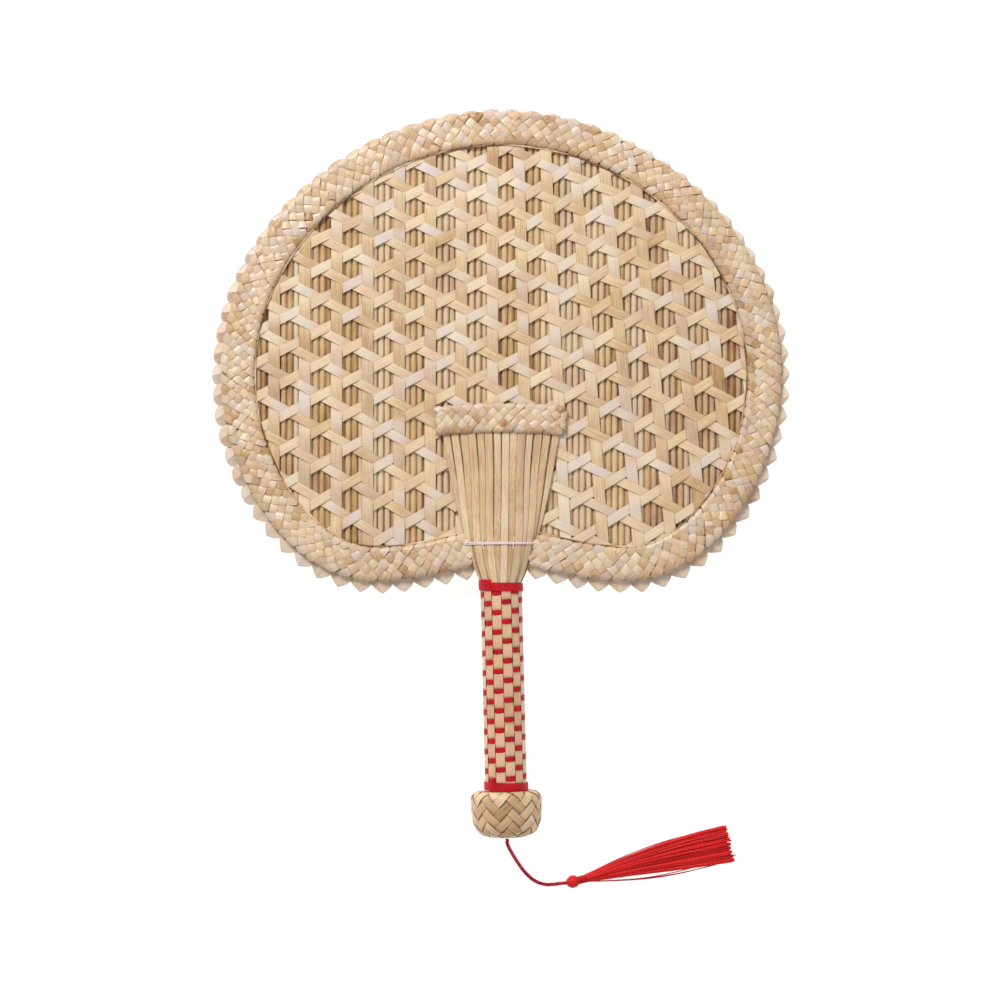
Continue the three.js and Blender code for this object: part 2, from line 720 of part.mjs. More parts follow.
addPiece(tassel, 'tassel_cord', tasselCord(), cordFinish);
const hanging = new THREE.Group();
hanging.position.set(TASSEL_X, TASSEL_Y, 0);
hanging.rotation.z = TASSEL_TURN;
tassel.add(hanging);
const beadGeometry = new THREE.SphereGeometry(BEAD_RADIUS, BEAD_SIDES, BEAD_RINGS);
const bead = addPiece(hanging, 'tassel_bead', beadGeometry, tasselFinish);
bead.position.z = BEAD_RADIUS;
bead.rotation.x = Math.PI / 2;
const neckGeometry = new THREE.CylinderGeometry(NECK_RADIUS, NECK_RADIUS, NECK_LENGTH, NECK_SIDES);
const neck = addPiece(hanging, 'tassel_neck', neckGeometry, tasselFinish);
neck.rotation.z = Math.PI / 2;
neck.position.set(BEAD_RADIUS + SEAT_GAP + NECK_LENGTH / 2, 0, BEAD_RADIUS);
addPiece(hanging, 'tassel_skirt', tasselSkirt(), tasselFinish);

const strawFan = new THREE.Group();
strawFan.name = 'straw_fan';
strawFan.add(fan);
strawFan.add(tassel);

export default strawFan;
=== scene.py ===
"""Straw fan, dressed around its CAD frame: woven blade, splayed throat, ribbon handle, knob and tassel.
Plans are in millimetres in the fan's own plane, as in the CAD source: Y is 0 at the top of the handle, X
runs to the right and Z is 0 at the blade's middle. Each piece is turned into the row frame, in metres, as
its mesh is made."""

import json
import math

import bpy
import numpy as np
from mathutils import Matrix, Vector
from mathutils.kdtree import KDTree


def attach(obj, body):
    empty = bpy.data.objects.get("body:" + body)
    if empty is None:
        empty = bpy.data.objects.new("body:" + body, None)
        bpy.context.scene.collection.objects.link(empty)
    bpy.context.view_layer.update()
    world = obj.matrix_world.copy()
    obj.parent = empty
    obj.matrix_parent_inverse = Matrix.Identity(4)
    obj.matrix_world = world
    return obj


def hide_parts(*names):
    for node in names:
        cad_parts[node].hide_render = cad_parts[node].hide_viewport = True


bl_info = {
    "name": "Straw fan",
    "version": (1, 0, 0),
    "blender": (4, 5, 0),
    "location": "View3D > Sidebar > Straw fan",
    "description": "Builds a woven straw fan with a ribbon handle, a plaited knob and a cord tassel",
    "category": "Add Mesh",
}

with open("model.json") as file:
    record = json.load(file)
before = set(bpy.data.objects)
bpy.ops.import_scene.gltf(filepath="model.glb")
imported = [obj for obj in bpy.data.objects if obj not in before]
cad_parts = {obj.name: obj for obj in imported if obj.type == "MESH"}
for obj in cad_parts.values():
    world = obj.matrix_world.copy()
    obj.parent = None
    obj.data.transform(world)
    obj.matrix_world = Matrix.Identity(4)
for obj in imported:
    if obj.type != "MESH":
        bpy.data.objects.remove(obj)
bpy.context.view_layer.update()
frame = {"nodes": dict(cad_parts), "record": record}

MM = 0.001

# The colour sockets of a Mix node, which has sockets of the same names for its other kinds
MIX_A, MIX_B, MIX_RESULT = 6, 7, 2

# The fan's plane in the row frame, from the face on the front of the border
BORDER_FACE = next(m for m in frame["record"]["mounts"] if m["name"] == "front_border_face")
BORDER_FACE_PLAN = np.array([0.0, 228.0, 4.6]) * MM
TILT_SIN = -BORDER_FACE["axis"][1]
TILT_COS = BORDER_FACE["axis"][2]
TILT = np.array([[1, 0, 0], [0, TILT_COS, -TILT_SIN], [0, TILT_SIN, TILT_COS]], float)
FAN_ORIGIN = np.array(BORDER_FACE["pos_m"], float) - TILT @ BORDER_FACE_PLAN
HANDLE_LEAN = math.radians(1.4)
LEAN = np.array([
    [math.cos(HANDLE_LEAN), -math.sin(HANDLE_LEAN), 0],
    [math.sin(HANDLE_LEAN), math.cos(HANDLE_LEAN), 0],
    [0, 0, 1],
])
FAN_PLACE = (TILT, FAN_ORIGIN)
HANDLE_PLACE = (TILT @ LEAN, FAN_ORIGIN)

# The two faces of the fan, and which way each looks
FACES = (("front", 1), ("back", -1))

# Blade outline, one side, as cubic curves: crown, hip and lobe
BLADE_TOP = 237.5
BLADE_HALF_WIDTH = 141
WIDEST_AT = 104
LOBE_X = 62
OUTLINE_CURVES = [
    [(0, BLADE_TOP), (72, BLADE_TOP), (BLADE_HALF_WIDTH, 180), (BLADE_HALF_WIDTH, WIDEST_AT)],
    [(BLADE_HALF_WIDTH, WIDEST_AT), (BLADE_HALF_WIDTH, 54), (107, 0), (LOBE_X, 0)],
    [(LOBE_X, 0), (44, 0), (25, 5), (13, 8)],
]

# How far in from the outline the stalks and the nets end, and the band under the edging's points runs
STALK_INSET = 8.4
NET_INSET = 8.6
EDGING_INSET = 6.0

# How far in under the splay's edge each layer of the blade reaches. The edging's points stay clear of
# it.
UNDER_SPLAY = {"net": 1.5, "stalks": 4, "grooves": 5, "plait": 2, "band": 2.5, "points": -2}

# Heights above the blade's middle: nets, border plaits, the strand of painted shadow inside these,
# and cap plaits
NET_LEVEL = 2.25
BORDER_LEVEL = 3.7
RIM_LEVEL = 2.8
CAP_LEVEL = 5.0

# Grid of the net's gaps: column and row pitch, and how the rows open downwards
NET_FIRST_COLUMN = 3.4
NET_COLUMN = 15.6
NET_FIRST_ROW = 195.8
NET_ROW = 15.2
NET_ROW_GROWTH = 0.0118

# The net's right half leans and lies higher. This is full so far out. A column leans by a share of its
# distance from the level where none does, and the low and the high rows are lifted by these, with a
# change in between.
NET_LEAN_FULL = 90
NET_LEAN = 0.102
NET_LEAN_FROM = 131.5
NET_LIFTS = (3, 7)
NET_LIFT_BETWEEN = (45, 150)

# How finely a strip is drawn, in columns, and the rows, columns and strips that cover the blade
NET_STEP = 1 / 12
NET_ROWS = (-5, 18)
NET_COLUMNS = (-11, 11)
NET_STRIPS = (-20, 32)
# Tone of each family of strips: the difference between them is painted sheen, lightest on the rising ones
NET_SHEEN_TONES = {"rising": 0.63, "falling": 0.49, "upright": 0.43}

# Stalks: how many lie on each side of the middle, how finely each is drawn, and in how many handfuls
STALKS_A_SIDE = 45
STALK_STEP = 3.6
HANDFULS = 40

# How thick a stalk is as a share of its width, because it is pressed a little flat
STALK_FLATNESS = 0.86

# Painted shadow of an upright strip on the stalks beside it: where it starts to fade and has faded, and
# how much browner it makes them
UPRIGHT_SHADOW = (3.0, 4.4)
UPRIGHT_SHADE = 0.3

# A plait's strands bend down round its edges: the bend's radius, and how much of the width it takes
TUCK_RADIUS = 1.3
TUCK_WIDTH = 1.9

# Where a plait's outer crossings lie, as a share of its width from its middle, and the steps between
PLAIT_REACH = 0.36
PLAIT_STEPS = 4

# How finely a plait's path and strands are drawn, how far the path runs on, and where strands begin
PATH_STEP = 0.5
STRAND_STEP = 0.72
PATH_RUN_ON = 20
PLAIT_MARGIN = 6

# Border plait: how much narrower its strands' plan is than the border, how far inward it is moved, and
# how finely its path is drawn. The dark strand inside it that paints the plait's shadow: how far it is
# moved, its width and its thickness.
BORDER_NARROWER = 1
BORDER_SHIFT = 0.4
FINE_STEP = 0.25
RIM_SHIFT = 0.1
RIM_WIDTH = 0.9
RIM_THICKNESS = 0.5

# How far a strand goes along a plait for each step across, where the path runs up and where it runs
# level
BORDER_ADVANCE = (0.79, 0.95)
CAP_ADVANCE = (0.95, 0.95)

# Height of the edging's points on the lobes, at the sides and at the top, their pitch, how deep each
# starts, and how thick they are
POINT_HEIGHTS = (5.5, 4, 0.8)
POINT_PITCH = 10.4
POINT_DEPTH = 3.2
POINT_THICKNESS = 2

# Layers of the folded band that the points stand on: their heights, width and thickness
EDGING_LEVELS = (-1.3, 0, 1.3)
EDGING_WIDTH = 9
EDGING_THICKNESS = 0.9

# The points are sharp below this height and to the right of this place, and round elsewhere
SHARP_BELOW = 36
SHARP_FROM = 60

# The folded points, one unit long and wide: the ridge, the rim on both sides of the tip, and how much
# darker or lighter each flap is painted as shade or light, at the plait and further out
ROUND_POINT = {
    "ridge": [(-0.7, -0.1, 0.95), (0.84, 0.06, 0.42)],
    "near": [(0, -0.54), (0.5, -0.47), (0.82, -0.3), (0.97, -0.1)],
    "tip": (1.0, 0.06),
    "away": [(0.9, 0.26), (0.62, 0.42), (0, 0.54)],
    "near_flap_shading": (-0.08, -0.03),
    "away_flap_shading": (-0.2, -0.08),
}
SHARP_POINT = {
    "ridge": [(-0.7, -0.24, 0.95), (0.9, -0.04, 0.35)],
    "near": [(0, -0.54), (0.36, -0.4), (0.78, -0.16)],
    "tip": (1.0, 0.0),
    "away": [(0.84, 0.14), (0.46, 0.38), (0, 0.53)],
    "near_flap_shading": (-0.13, 0.01),
    "away_flap_shading": (0.11, 0.23),
}

# The splay's side edge, its top, the height where it has become flat, and its straws: how many on each
# face, their width, and their top
SPLAY_EDGE = [(10.4, 0), (21.5, 22), (31.5, 88)]
SPLAY_TOP = 88
SPLAY_FLAT_AT = 62
SPLAY_STRAWS = {"front": 14, "back": 12}
SPLAY_STRAW_WIDTH = 4.5
SPLAY_STRAW_TOP = 84

# Undersides of the splay's straws, round the handle and on the blade, and the thickness of their space
WARP_INNER = 9.5
BORDER_INNER = 3.0
STRAW_SPACE = 0.9

# Cap plait over the splay's top: half its width, how far its ends drop, the height of its middle, and
# how much darker it is than the border
CAP_HALF_WIDTH = 33
CAP_DROP = 2
CAP_MIDDLE = 82.5
CAP_DARKER = 0.04

# Thread tie: its height, how far across the splay it reaches, how its two lines rise and lean, and the
# places, ends and middle of its two stitches
TIE_Y = 19.8
TIE_REACH = 0.97
TIE_LINES = ((-0.3, 0.25), (0.3, -0.1))
STITCH_SPOTS = (-8.9, 6.1)
STITCH_ENDS = (16.6, 22.8)
STITCH_MIDDLE = 19.7

# Handle: its ends, its straw strips, the ribbon woven through them, and the bands that close it
HANDLE_TOP = -0.28
HANDLE_LOW = -102.7
WARP_COUNT = 13
WARP_TURN = math.pi / 2 - math.pi / WARP_COUNT
WARP_RADIUS = 9.86
WARP_THICKNESS = 0.36
RIBBON_TOP = HANDLE_TOP - 4.2
RIBBON_END_GAP = 2.2
RIBBON_RADIUS = 9.74
RIBBON_THICKNESS = 0.28
WEAVE_DEPTH = 0.5
BAND_RADIUS = 10.7
BAND_WIDTH = 4.5
BAND_THICKNESS = 0.34
BAND_TURNS = 1.18

# Each band: its middle, where its end lies in degrees, how far the end climbs and how much wider it
# gets
BANDS = (
    ("top", HANDLE_TOP - 1.6, 182, 0.9, 0.24),
    ("bottom", HANDLE_LOW + 1.8, 300, -0.2, 0.06),
)

# Knob: its rim, its side and end, and the strips that are plaited into it
KNOB_TOP = -103
KNOB_MOUTH = 10.6
KNOB_RADIUS = 17.8
KNOB_HEIGHT = 24
KNOB_ROUNDING = 4.4
KNOB_SIDE_FULLNESS = 0.85
KNOB_END_FULLNESS = 0.9
KNOB_INSET = 0.85
KNOB_STEP = 0.4
KNOB_END_HOLE = 1.6
KNOB_STRIPS = 16
KNOB_STRIP_THICKNESS = 0.66
KNOB_LIFT = 0.36

# Cord: where it leaves the knob along the handle, its route in plan with its height above the ground,
# how low its middle goes, and its plies: their width, their offset, their lay and their tones
CORD_STARTS = (-127.3, -129.4)
CORD_ENDING = [
    (5.6, -134.8, 14.6), (7.3, -138.1, 10.6), (8.9, -141.0, 6.4), (10.4, -143.6, 3.0), (12.0, -145.8, 1.3),
    (14.0, -147.9, 0.75), (16.3, -149.8, 0.75), (18.9, -151.2, 0.75), (21.7, -152.0, 0.75),
    (24.6, -152.2, 0.85), (27.4, -151.9, 1.3), (29.8, -151.5, 2.1), (32.9, -151.0, 3.0),
]
CORD_LOWEST = 0.95
CORD_PLY = 0.94
CORD_PLY_OFFSET = 0.45
CORD_LAY = 4.4
CORD_PLY_TONES = (0.7, 0.5, 0.1)

# Tassel: its place and turn in plan, then its bead, its wound neck and its skirt of threads
TASSEL_SPOT = (36.2, -150.4)
TASSEL_TURN = math.radians(13.5)
BEAD_LAPS = 15
BEAD_TILT = math.radians(81)
BEAD_CENTRE = (0, 0, 3.0)
BEAD_STRETCH = (1.26, 1.12, 1.0)
BEAD_OUTER = 2.4
BEAD_INNER = 2.1
BEAD_THREAD = 0.95
NECK_TURNS = 11
NECK_START = 2.6
NECK_LENGTH = 5.0
NECK_RADIUS = 1.8
NECK_HEIGHT = 3
NECK_THREAD = 0.5
SKIRT_START = 6.6
SKIRT_LENGTH = 75.2
SKIRT_HALVES = (1.8, 9.5)
SKIRT_BOW = 0.9
SKIRT_BUNDLES = 9

# Threads that stray from the skirt's edge: how far each bows out, its height, where it ends and its
# tone
STRAYS = [(-3.4, 0.3, 0.93, 0.12), (-3.0, 0.32, 0.97, 0.2), (-2.7, 0.35, 0.8, 0.1), (1.3, 0.4, 0.9, 0.15)]
STRAY_HALVES = (1.7, 9.0)

# Places of what lies on the ground, and of what hangs on the cord's end
GROUND_PLACE = (np.eye(3), np.array([0, FAN_ORIGIN[1], 0]))
HANGING_PLACE = (
    np.array([
        [math.cos(TASSEL_TURN), -math.sin(TASSEL_TURN), 0],
        [math.sin(TASSEL_TURN), math.cos(TASSEL_TURN), 0],
        [0, 0, 1],
    ]),
    np.array([TASSEL_SPOT[0] * MM, TASSEL_SPOT[1] * MM + FAN_ORIGIN[1], 0]),
)

# Stage: the camera above the fan, the nearest and furthest that it sees, the ground's half width, the
# light from all round, and the softboxes' places, sizes and powers
CAMERA_PLACE = (-0.0005, -0.0141, 1.4)
CAMERA_REACH = (0.05, 20)
LENS = 100
SENSOR = 36
GROUND_HALF = 4
STUDIO_LIGHT = 0.38
SOFTBOXES = [("Key softbox", (-0.6, 1.15, 1.2), 0.5, 24), ("Fill softbox", (1.1, -0.7, 1.3), 1.2, 5)]


def linear(code):
    """sRGB hex to linear red, green and blue."""
    shares = [int(code[i:i + 2], 16) / 255 for i in (0, 2, 4)]
    return tuple(s / 12.92 if s <= 0.04045 else ((s + 0.055) / 1.055) ** 2.4 for s in shares)


# Plan geometry


def smoothstep(value, low, high):
    share = np.clip((np.asarray(value, float) - low) / (high - low), 0, 1)
    return share * share * (3 - 2 * share)


def lerp(a, b, share):
    return a + (b - a) * share


def bezier(points, shares):
    """Points of a quadratic or cubic curve at an array of shares."""
    rows = [np.tile(np.array(p, float), (len(shares), 1)) for p in points]
    t = np.asarray(shares, float)[:, None]
    while len(rows) > 1:
        rows = [a + (b - a) * t for a, b in zip(rows, rows[1:])]
    return rows[0]


def lengths_along(points):
    steps = np.linalg.norm(np.diff(points, axis=0), axis=1)
    return np.concatenate([[0], np.cumsum(steps)])


def resample(points, lengths):
    """Points at the given lengths along a line, going straight on past its ends."""
    along = lengths_along(points)
    inside = np.column_stack([np.interp(lengths, along, points[:, i]) for i in range(points.shape[1])])
    start = (points[0] - points[1]) / along[1]
    end = (points[-1] - points[-2]) / (along[-1] - along[-2])
    before = np.clip(-np.asarray(lengths), 0, None)[:, None]
    after = np.clip(np.asarray(lengths) - along[-1], 0, None)[:, None]
    return inside + start * before + end * after


def directions(points):
    d = np.gradient(points, axis=0)
    return d / np.linalg.norm(d, axis=1)[:, None]


def outline(inset, step=1.0):
    """The blade's outline moved in by an inset, from the left notch over the top to the right notch."""
    parts = [bezier(curve, np.linspace(0, 1, 400)) for curve in OUTLINE_CURVES]
    right = np.vstack([parts[0], parts[1][1:], parts[2][1:]])
    along = directions(right)
    right = right + inset * np.column_stack([along[:, 1], -along[:, 0]])
    whole = np.vstack([(right * [-1, 1])[:0:-1], right])
    total = lengths_along(whole)[-1]
    return resample(whole, np.linspace(0, total, int(round(total / step)) + 1))


def holds(loop, points):
    """Which points lie inside a closed loop."""
    inside = np.zeros(len(points), bool)
    x, y = points[:, 0], points[:, 1]
    for a, b in zip(np.roll(loop, 1, axis=0), loop):
        if a[1] != b[1]:
            inside ^= ((a[1] > y) != (b[1] > y)) & (x < (b[0] - a[0]) * (y - a[1]) / (b[1] - a[1]) + a[0])
    return inside


def splay_half_width(y):
    edge = bezier(SPLAY_EDGE, np.linspace(0, 1, 200))
    return np.interp(y, edge[:, 1], edge[:, 0])


def in_throat(points, margin):
    """Which points lie under the splay, further in from its edge than a margin."""
    y = points[:, 1]
    half = splay_half_width(np.clip(y, 0, SPLAY_TOP)) - margin
    return (np.abs(points[:, 0]) < half) & (y < SPLAY_TOP - margin)


def splay_place(across, y, level, face):
    """Points on the throat. across runs from -1 to 1, and level is the height above the straws' underside."""
    flat = smoothstep(y, 0, SPLAY_FLAT_AT)
    angle = across * math.pi / 2
    half = splay_half_width(y) - (STRAW_SPACE - level) * (1 - flat)
    rise = lerp(WARP_INNER + level, BORDER_INNER + level, flat)
    x = half * lerp(np.sin(angle), across, flat)
    z = rise * lerp(np.cos(angle), 1, flat)
    return np.column_stack([x, y + 0 * x, face * z])


def runs(mask):
    """First and last-plus-one index of each run of true values."""
    edges = np.flatnonzero(np.diff(np.concatenate([[0], mask.astype(int), [0]])))
    return list(zip(edges[::2], edges[1::2]))


def plateau(wave):
    """A cosine wave with flatter tops, as a stiff strip takes over and under its neighbours."""
    return wave * (1.5 - 0.5 * wave * wave)


# Meshes


def node(tree, kind, inputs=None, stops=(), **settings):
    """Adds a node, sets its properties and a colour ramp's stops, and fills its sockets with values or
    links them to outputs."""
    made = tree.nodes.new(kind)
    for name, value in settings.items():
        setattr(made, name, value)
    if stops:
        elements = made.color_ramp.elements
        while len(elements) < len(stops):
            elements.new(0.5)
        for element, (place, colour) in zip(elements, stops):
            element.position = place
            element.color = (*colour, 1)
    for key, value in (inputs or {}).items():
        if isinstance(value, bpy.types.NodeSocket):
            tree.links.new(value, made.inputs[key])
        else:
            made.inputs[key].default_value = value
    return made


def strand(points, up, tone=0.5, blush=0.0, swell=1.0):
    """One strip or thread: its line, the way its face looks, its tone, its pinkish sheen and its share
    of full width."""
    points = np.asarray(points, float)
    count = len(points)
    up = np.broadcast_to(np.asarray(up, float), (count, 3)).copy()
    along = directions(points)
    up -= along * np.sum(up * along, axis=1)[:, None]
    up /= np.linalg.norm(up, axis=1)[:, None]
    spread = [np.broadcast_to(np.asarray(v, float), (count,)).copy() for v in (tone, blush, swell)]
    return {"points": points, "up": up, "tone": spread[0], "blush": spread[1], "swell": spread[2]}


def line_object(name, strands, place):
    """The strands' lines as one mesh of edges in the row frame, with what the sweep needs at each point."""
    turn, origin = place
    points = np.vstack([s["points"] for s in strands]) * MM @ turn.T + origin
    edges, start = [], 0
    for s in strands:
        count = len(s["points"])
        edges += [(start + i, start + i + 1) for i in range(count - 1)]
        start += count
    mesh = bpy.data.meshes.new(name)
    mesh.from_pydata(points.tolist(), edges, [])
    up = np.vstack([s["up"] for s in strands]) @ turn.T
    mesh.attributes.new("face_up", "FLOAT_VECTOR", "POINT").data.foreach_set("vector", up.ravel())
    for key in ("tone", "blush", "swell"):
        values = np.concatenate([s[key] for s in strands])
        mesh.attributes.new(key, "FLOAT", "POINT").data.foreach_set("value", values)
    made = bpy.data.objects.new(name, mesh)
    bpy.context.scene.collection.objects.link(made)
    return made


def strand_tree():
    """Sweeps a flat or round section along every line, with a map that runs along and across each
    strand. The tree is built once."""
    known = bpy.data.node_groups.get("Strand sweep")
    if known:
        return known
    tree = bpy.data.node_groups.new("Strand sweep", "GeometryNodeTree")
    sockets = [
        ("Lines", "NodeSocketGeometry", None),
        ("Half width", "NodeSocketFloat", 0.002),
        ("Half thickness", "NodeSocketFloat", 0.0002),
        ("Sides", "NodeSocketInt", 8),
        ("Crease angle", "NodeSocketFloat", 1.35),
        ("Material", "NodeSocketMaterial", None),
    ]
    for name, kind, default in sockets:
        socket = tree.interface.new_socket(name, in_out="INPUT", socket_type=kind)
        if default is not None:
            socket.default_value = default
    tree.interface.new_socket("Strands", in_out="OUTPUT", socket_type="NodeSocketGeometry")
    given = node(tree, "NodeGroupInput").outputs
    lines = node(tree, "GeometryNodeMeshToCurve", {"Mesh": given["Lines"]})
    up = node(tree, "GeometryNodeInputNamedAttribute", {"Name": "face_up"}, data_type="FLOAT_VECTOR")
    facing = node(tree, "GeometryNodeSetCurveNormal",
                  {"Curve": lines.outputs[0], "Normal": up.outputs["Attribute"]}, mode="FREE")
    way = node(tree, "GeometryNodeSplineParameter")
    measured = node(tree, "GeometryNodeStoreNamedAttribute",
                    {"Geometry": facing.outputs[0], "Name": "along", "Value": way.outputs["Length"]},
                    data_type="FLOAT", domain="POINT")
    half_step = node(tree, "ShaderNodeMath", {0: math.pi, 1: given["Sides"]}, operation="DIVIDE")
    turn = node(tree, "ShaderNodeCombineXYZ", {"Z": half_step.outputs[0]})
    flat = node(tree, "ShaderNodeMath", {0: half_step.outputs[0]}, operation="COSINE")
    radius = node(tree, "ShaderNodeMath", {0: 1.0, 1: flat.outputs[0]}, operation="DIVIDE")
    ring = node(tree, "GeometryNodeCurvePrimitiveCircle",
                {"Resolution": given["Sides"], "Radius": radius.outputs[0]})
    turned = node(tree, "GeometryNodeTransform", {"Geometry": ring.outputs[0], "Rotation": turn.outputs[0]})
    place = node(tree, "GeometryNodeInputPosition")
    split = node(tree, "ShaderNodeSeparateXYZ", {0: place.outputs[0]})
    marked = node(tree, "GeometryNodeStoreNamedAttribute",
                  {"Geometry": turned.outputs[0], "Name": "across", "Value": split.outputs["Y"]},
                  data_type="FLOAT", domain="POINT")
    size = node(tree, "ShaderNodeCombineXYZ",
                {"X": given["Half thickness"], "Y": given["Half width"], "Z": 1.0})
    section = node(tree, "GeometryNodeTransform", {"Geometry": marked.outputs[0], "Scale": size.outputs[0]})
    swell = node(tree, "GeometryNodeInputNamedAttribute", {"Name": "swell"}, data_type="FLOAT")
    swept = node(tree, "GeometryNodeCurveToMesh",
                 {"Curve": measured.outputs[0], "Profile Curve": section.outputs[0],
                  "Scale": swell.outputs["Attribute"], "Fill Caps": True})
    smooth = node(tree, "GeometryNodeSetShadeSmooth", {"Geometry": swept.outputs[0], "Shade Smooth": True})
    angle = node(tree, "GeometryNodeInputMeshEdgeAngle")
    crease = node(tree, "FunctionNodeCompare", {0: angle.outputs[0], 1: given["Crease angle"]},
                  data_type="FLOAT", operation="GREATER_THAN")
    creased = node(tree, "GeometryNodeSetShadeSmooth",
                   {"Geometry": smooth.outputs[0], "Selection": crease.outputs[0], "Shade Smooth": False},
                   domain="EDGE")
    along = node(tree, "GeometryNodeInputNamedAttribute", {"Name": "along"}, data_type="FLOAT")
    across = node(tree, "GeometryNodeInputNamedAttribute", {"Name": "across"}, data_type="FLOAT")
    reach = node(tree, "ShaderNodeMath", {0: across.outputs["Attribute"], 1: given["Half width"]},
                 operation="MULTIPLY")
    both = node(tree, "ShaderNodeCombineXYZ", {"X": along.outputs["Attribute"], "Y": reach.outputs[0]})
    mapped = node(tree, "GeometryNodeStoreNamedAttribute",
                  {"Geometry": creased.outputs[0], "Name": "strand_map", "Value": both.outputs[0]},
                  data_type="FLOAT2", domain="CORNER")
    whole = node(tree, "GeometryNodeRealizeInstances", {"Geometry": mapped.outputs[0]})
    painted = node(tree, "GeometryNodeSetMaterial",
                   {"Geometry": whole.outputs[0], "Material": given["Material"]})
    node(tree, "NodeGroupOutput", {"Strands": painted.outputs[0]})
    return tree


def finish_piece(made, tree, values, body, replaced, shape=None):
    """Runs a tree on an object, keeps the result as its plain mesh, shapes it further if asked, and
    gives it its body and hides the CAD parts that it replaces."""
    modifier = made.modifiers.new(tree.name, "NODES")
    modifier.node_group = tree
    for item in tree.interface.items_tree:
        if item.item_type == "SOCKET" and item.in_out == "INPUT" and item.name in values:
            modifier[item.identifier] = values[item.name]
    depsgraph = bpy.context.evaluated_depsgraph_get()
    whole = bpy.data.meshes.new_from_object(made.evaluated_get(depsgraph), depsgraph=depsgraph)
    made.modifiers.clear()
    lines = made.data
    made.data = whole
    bpy.data.meshes.remove(lines)
    whole.name = made.name
    if not len(whole.polygons):
        raise RuntimeError(f"{made.name} came out empty")
    if shape:
        shape(whole)
    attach(made, body)
    if replaced:
        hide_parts(*replaced)
    return made


def sweep(name, strands, width, thickness, material, replaced=(), place=FAN_PLACE, body="fan", sides=8,
          shape=None):
    """Makes one piece out of strands of one width and thickness, in millimetres."""
    values = {
        "Half width": width / 2 * MM,
        "Half thickness": thickness / 2 * MM,
        "Sides": sides,
        "Material": material,
    }
    lines = line_object(name, strands, place)
    return finish_piece(lines, strand_tree(), values, body, replaced, shape)


# Materials


def material(name):
    """An empty material's tree, with its shader and output."""
    made = bpy.data.materials.new(name)
    made.use_nodes = True
    tree = made.node_tree
    tree.nodes.clear()
    shader = node(tree, "ShaderNodeBsdfPrincipled")
    node(tree, "ShaderNodeOutputMaterial", {"Surface": shader.outputs[0]})
    return made, tree, shader


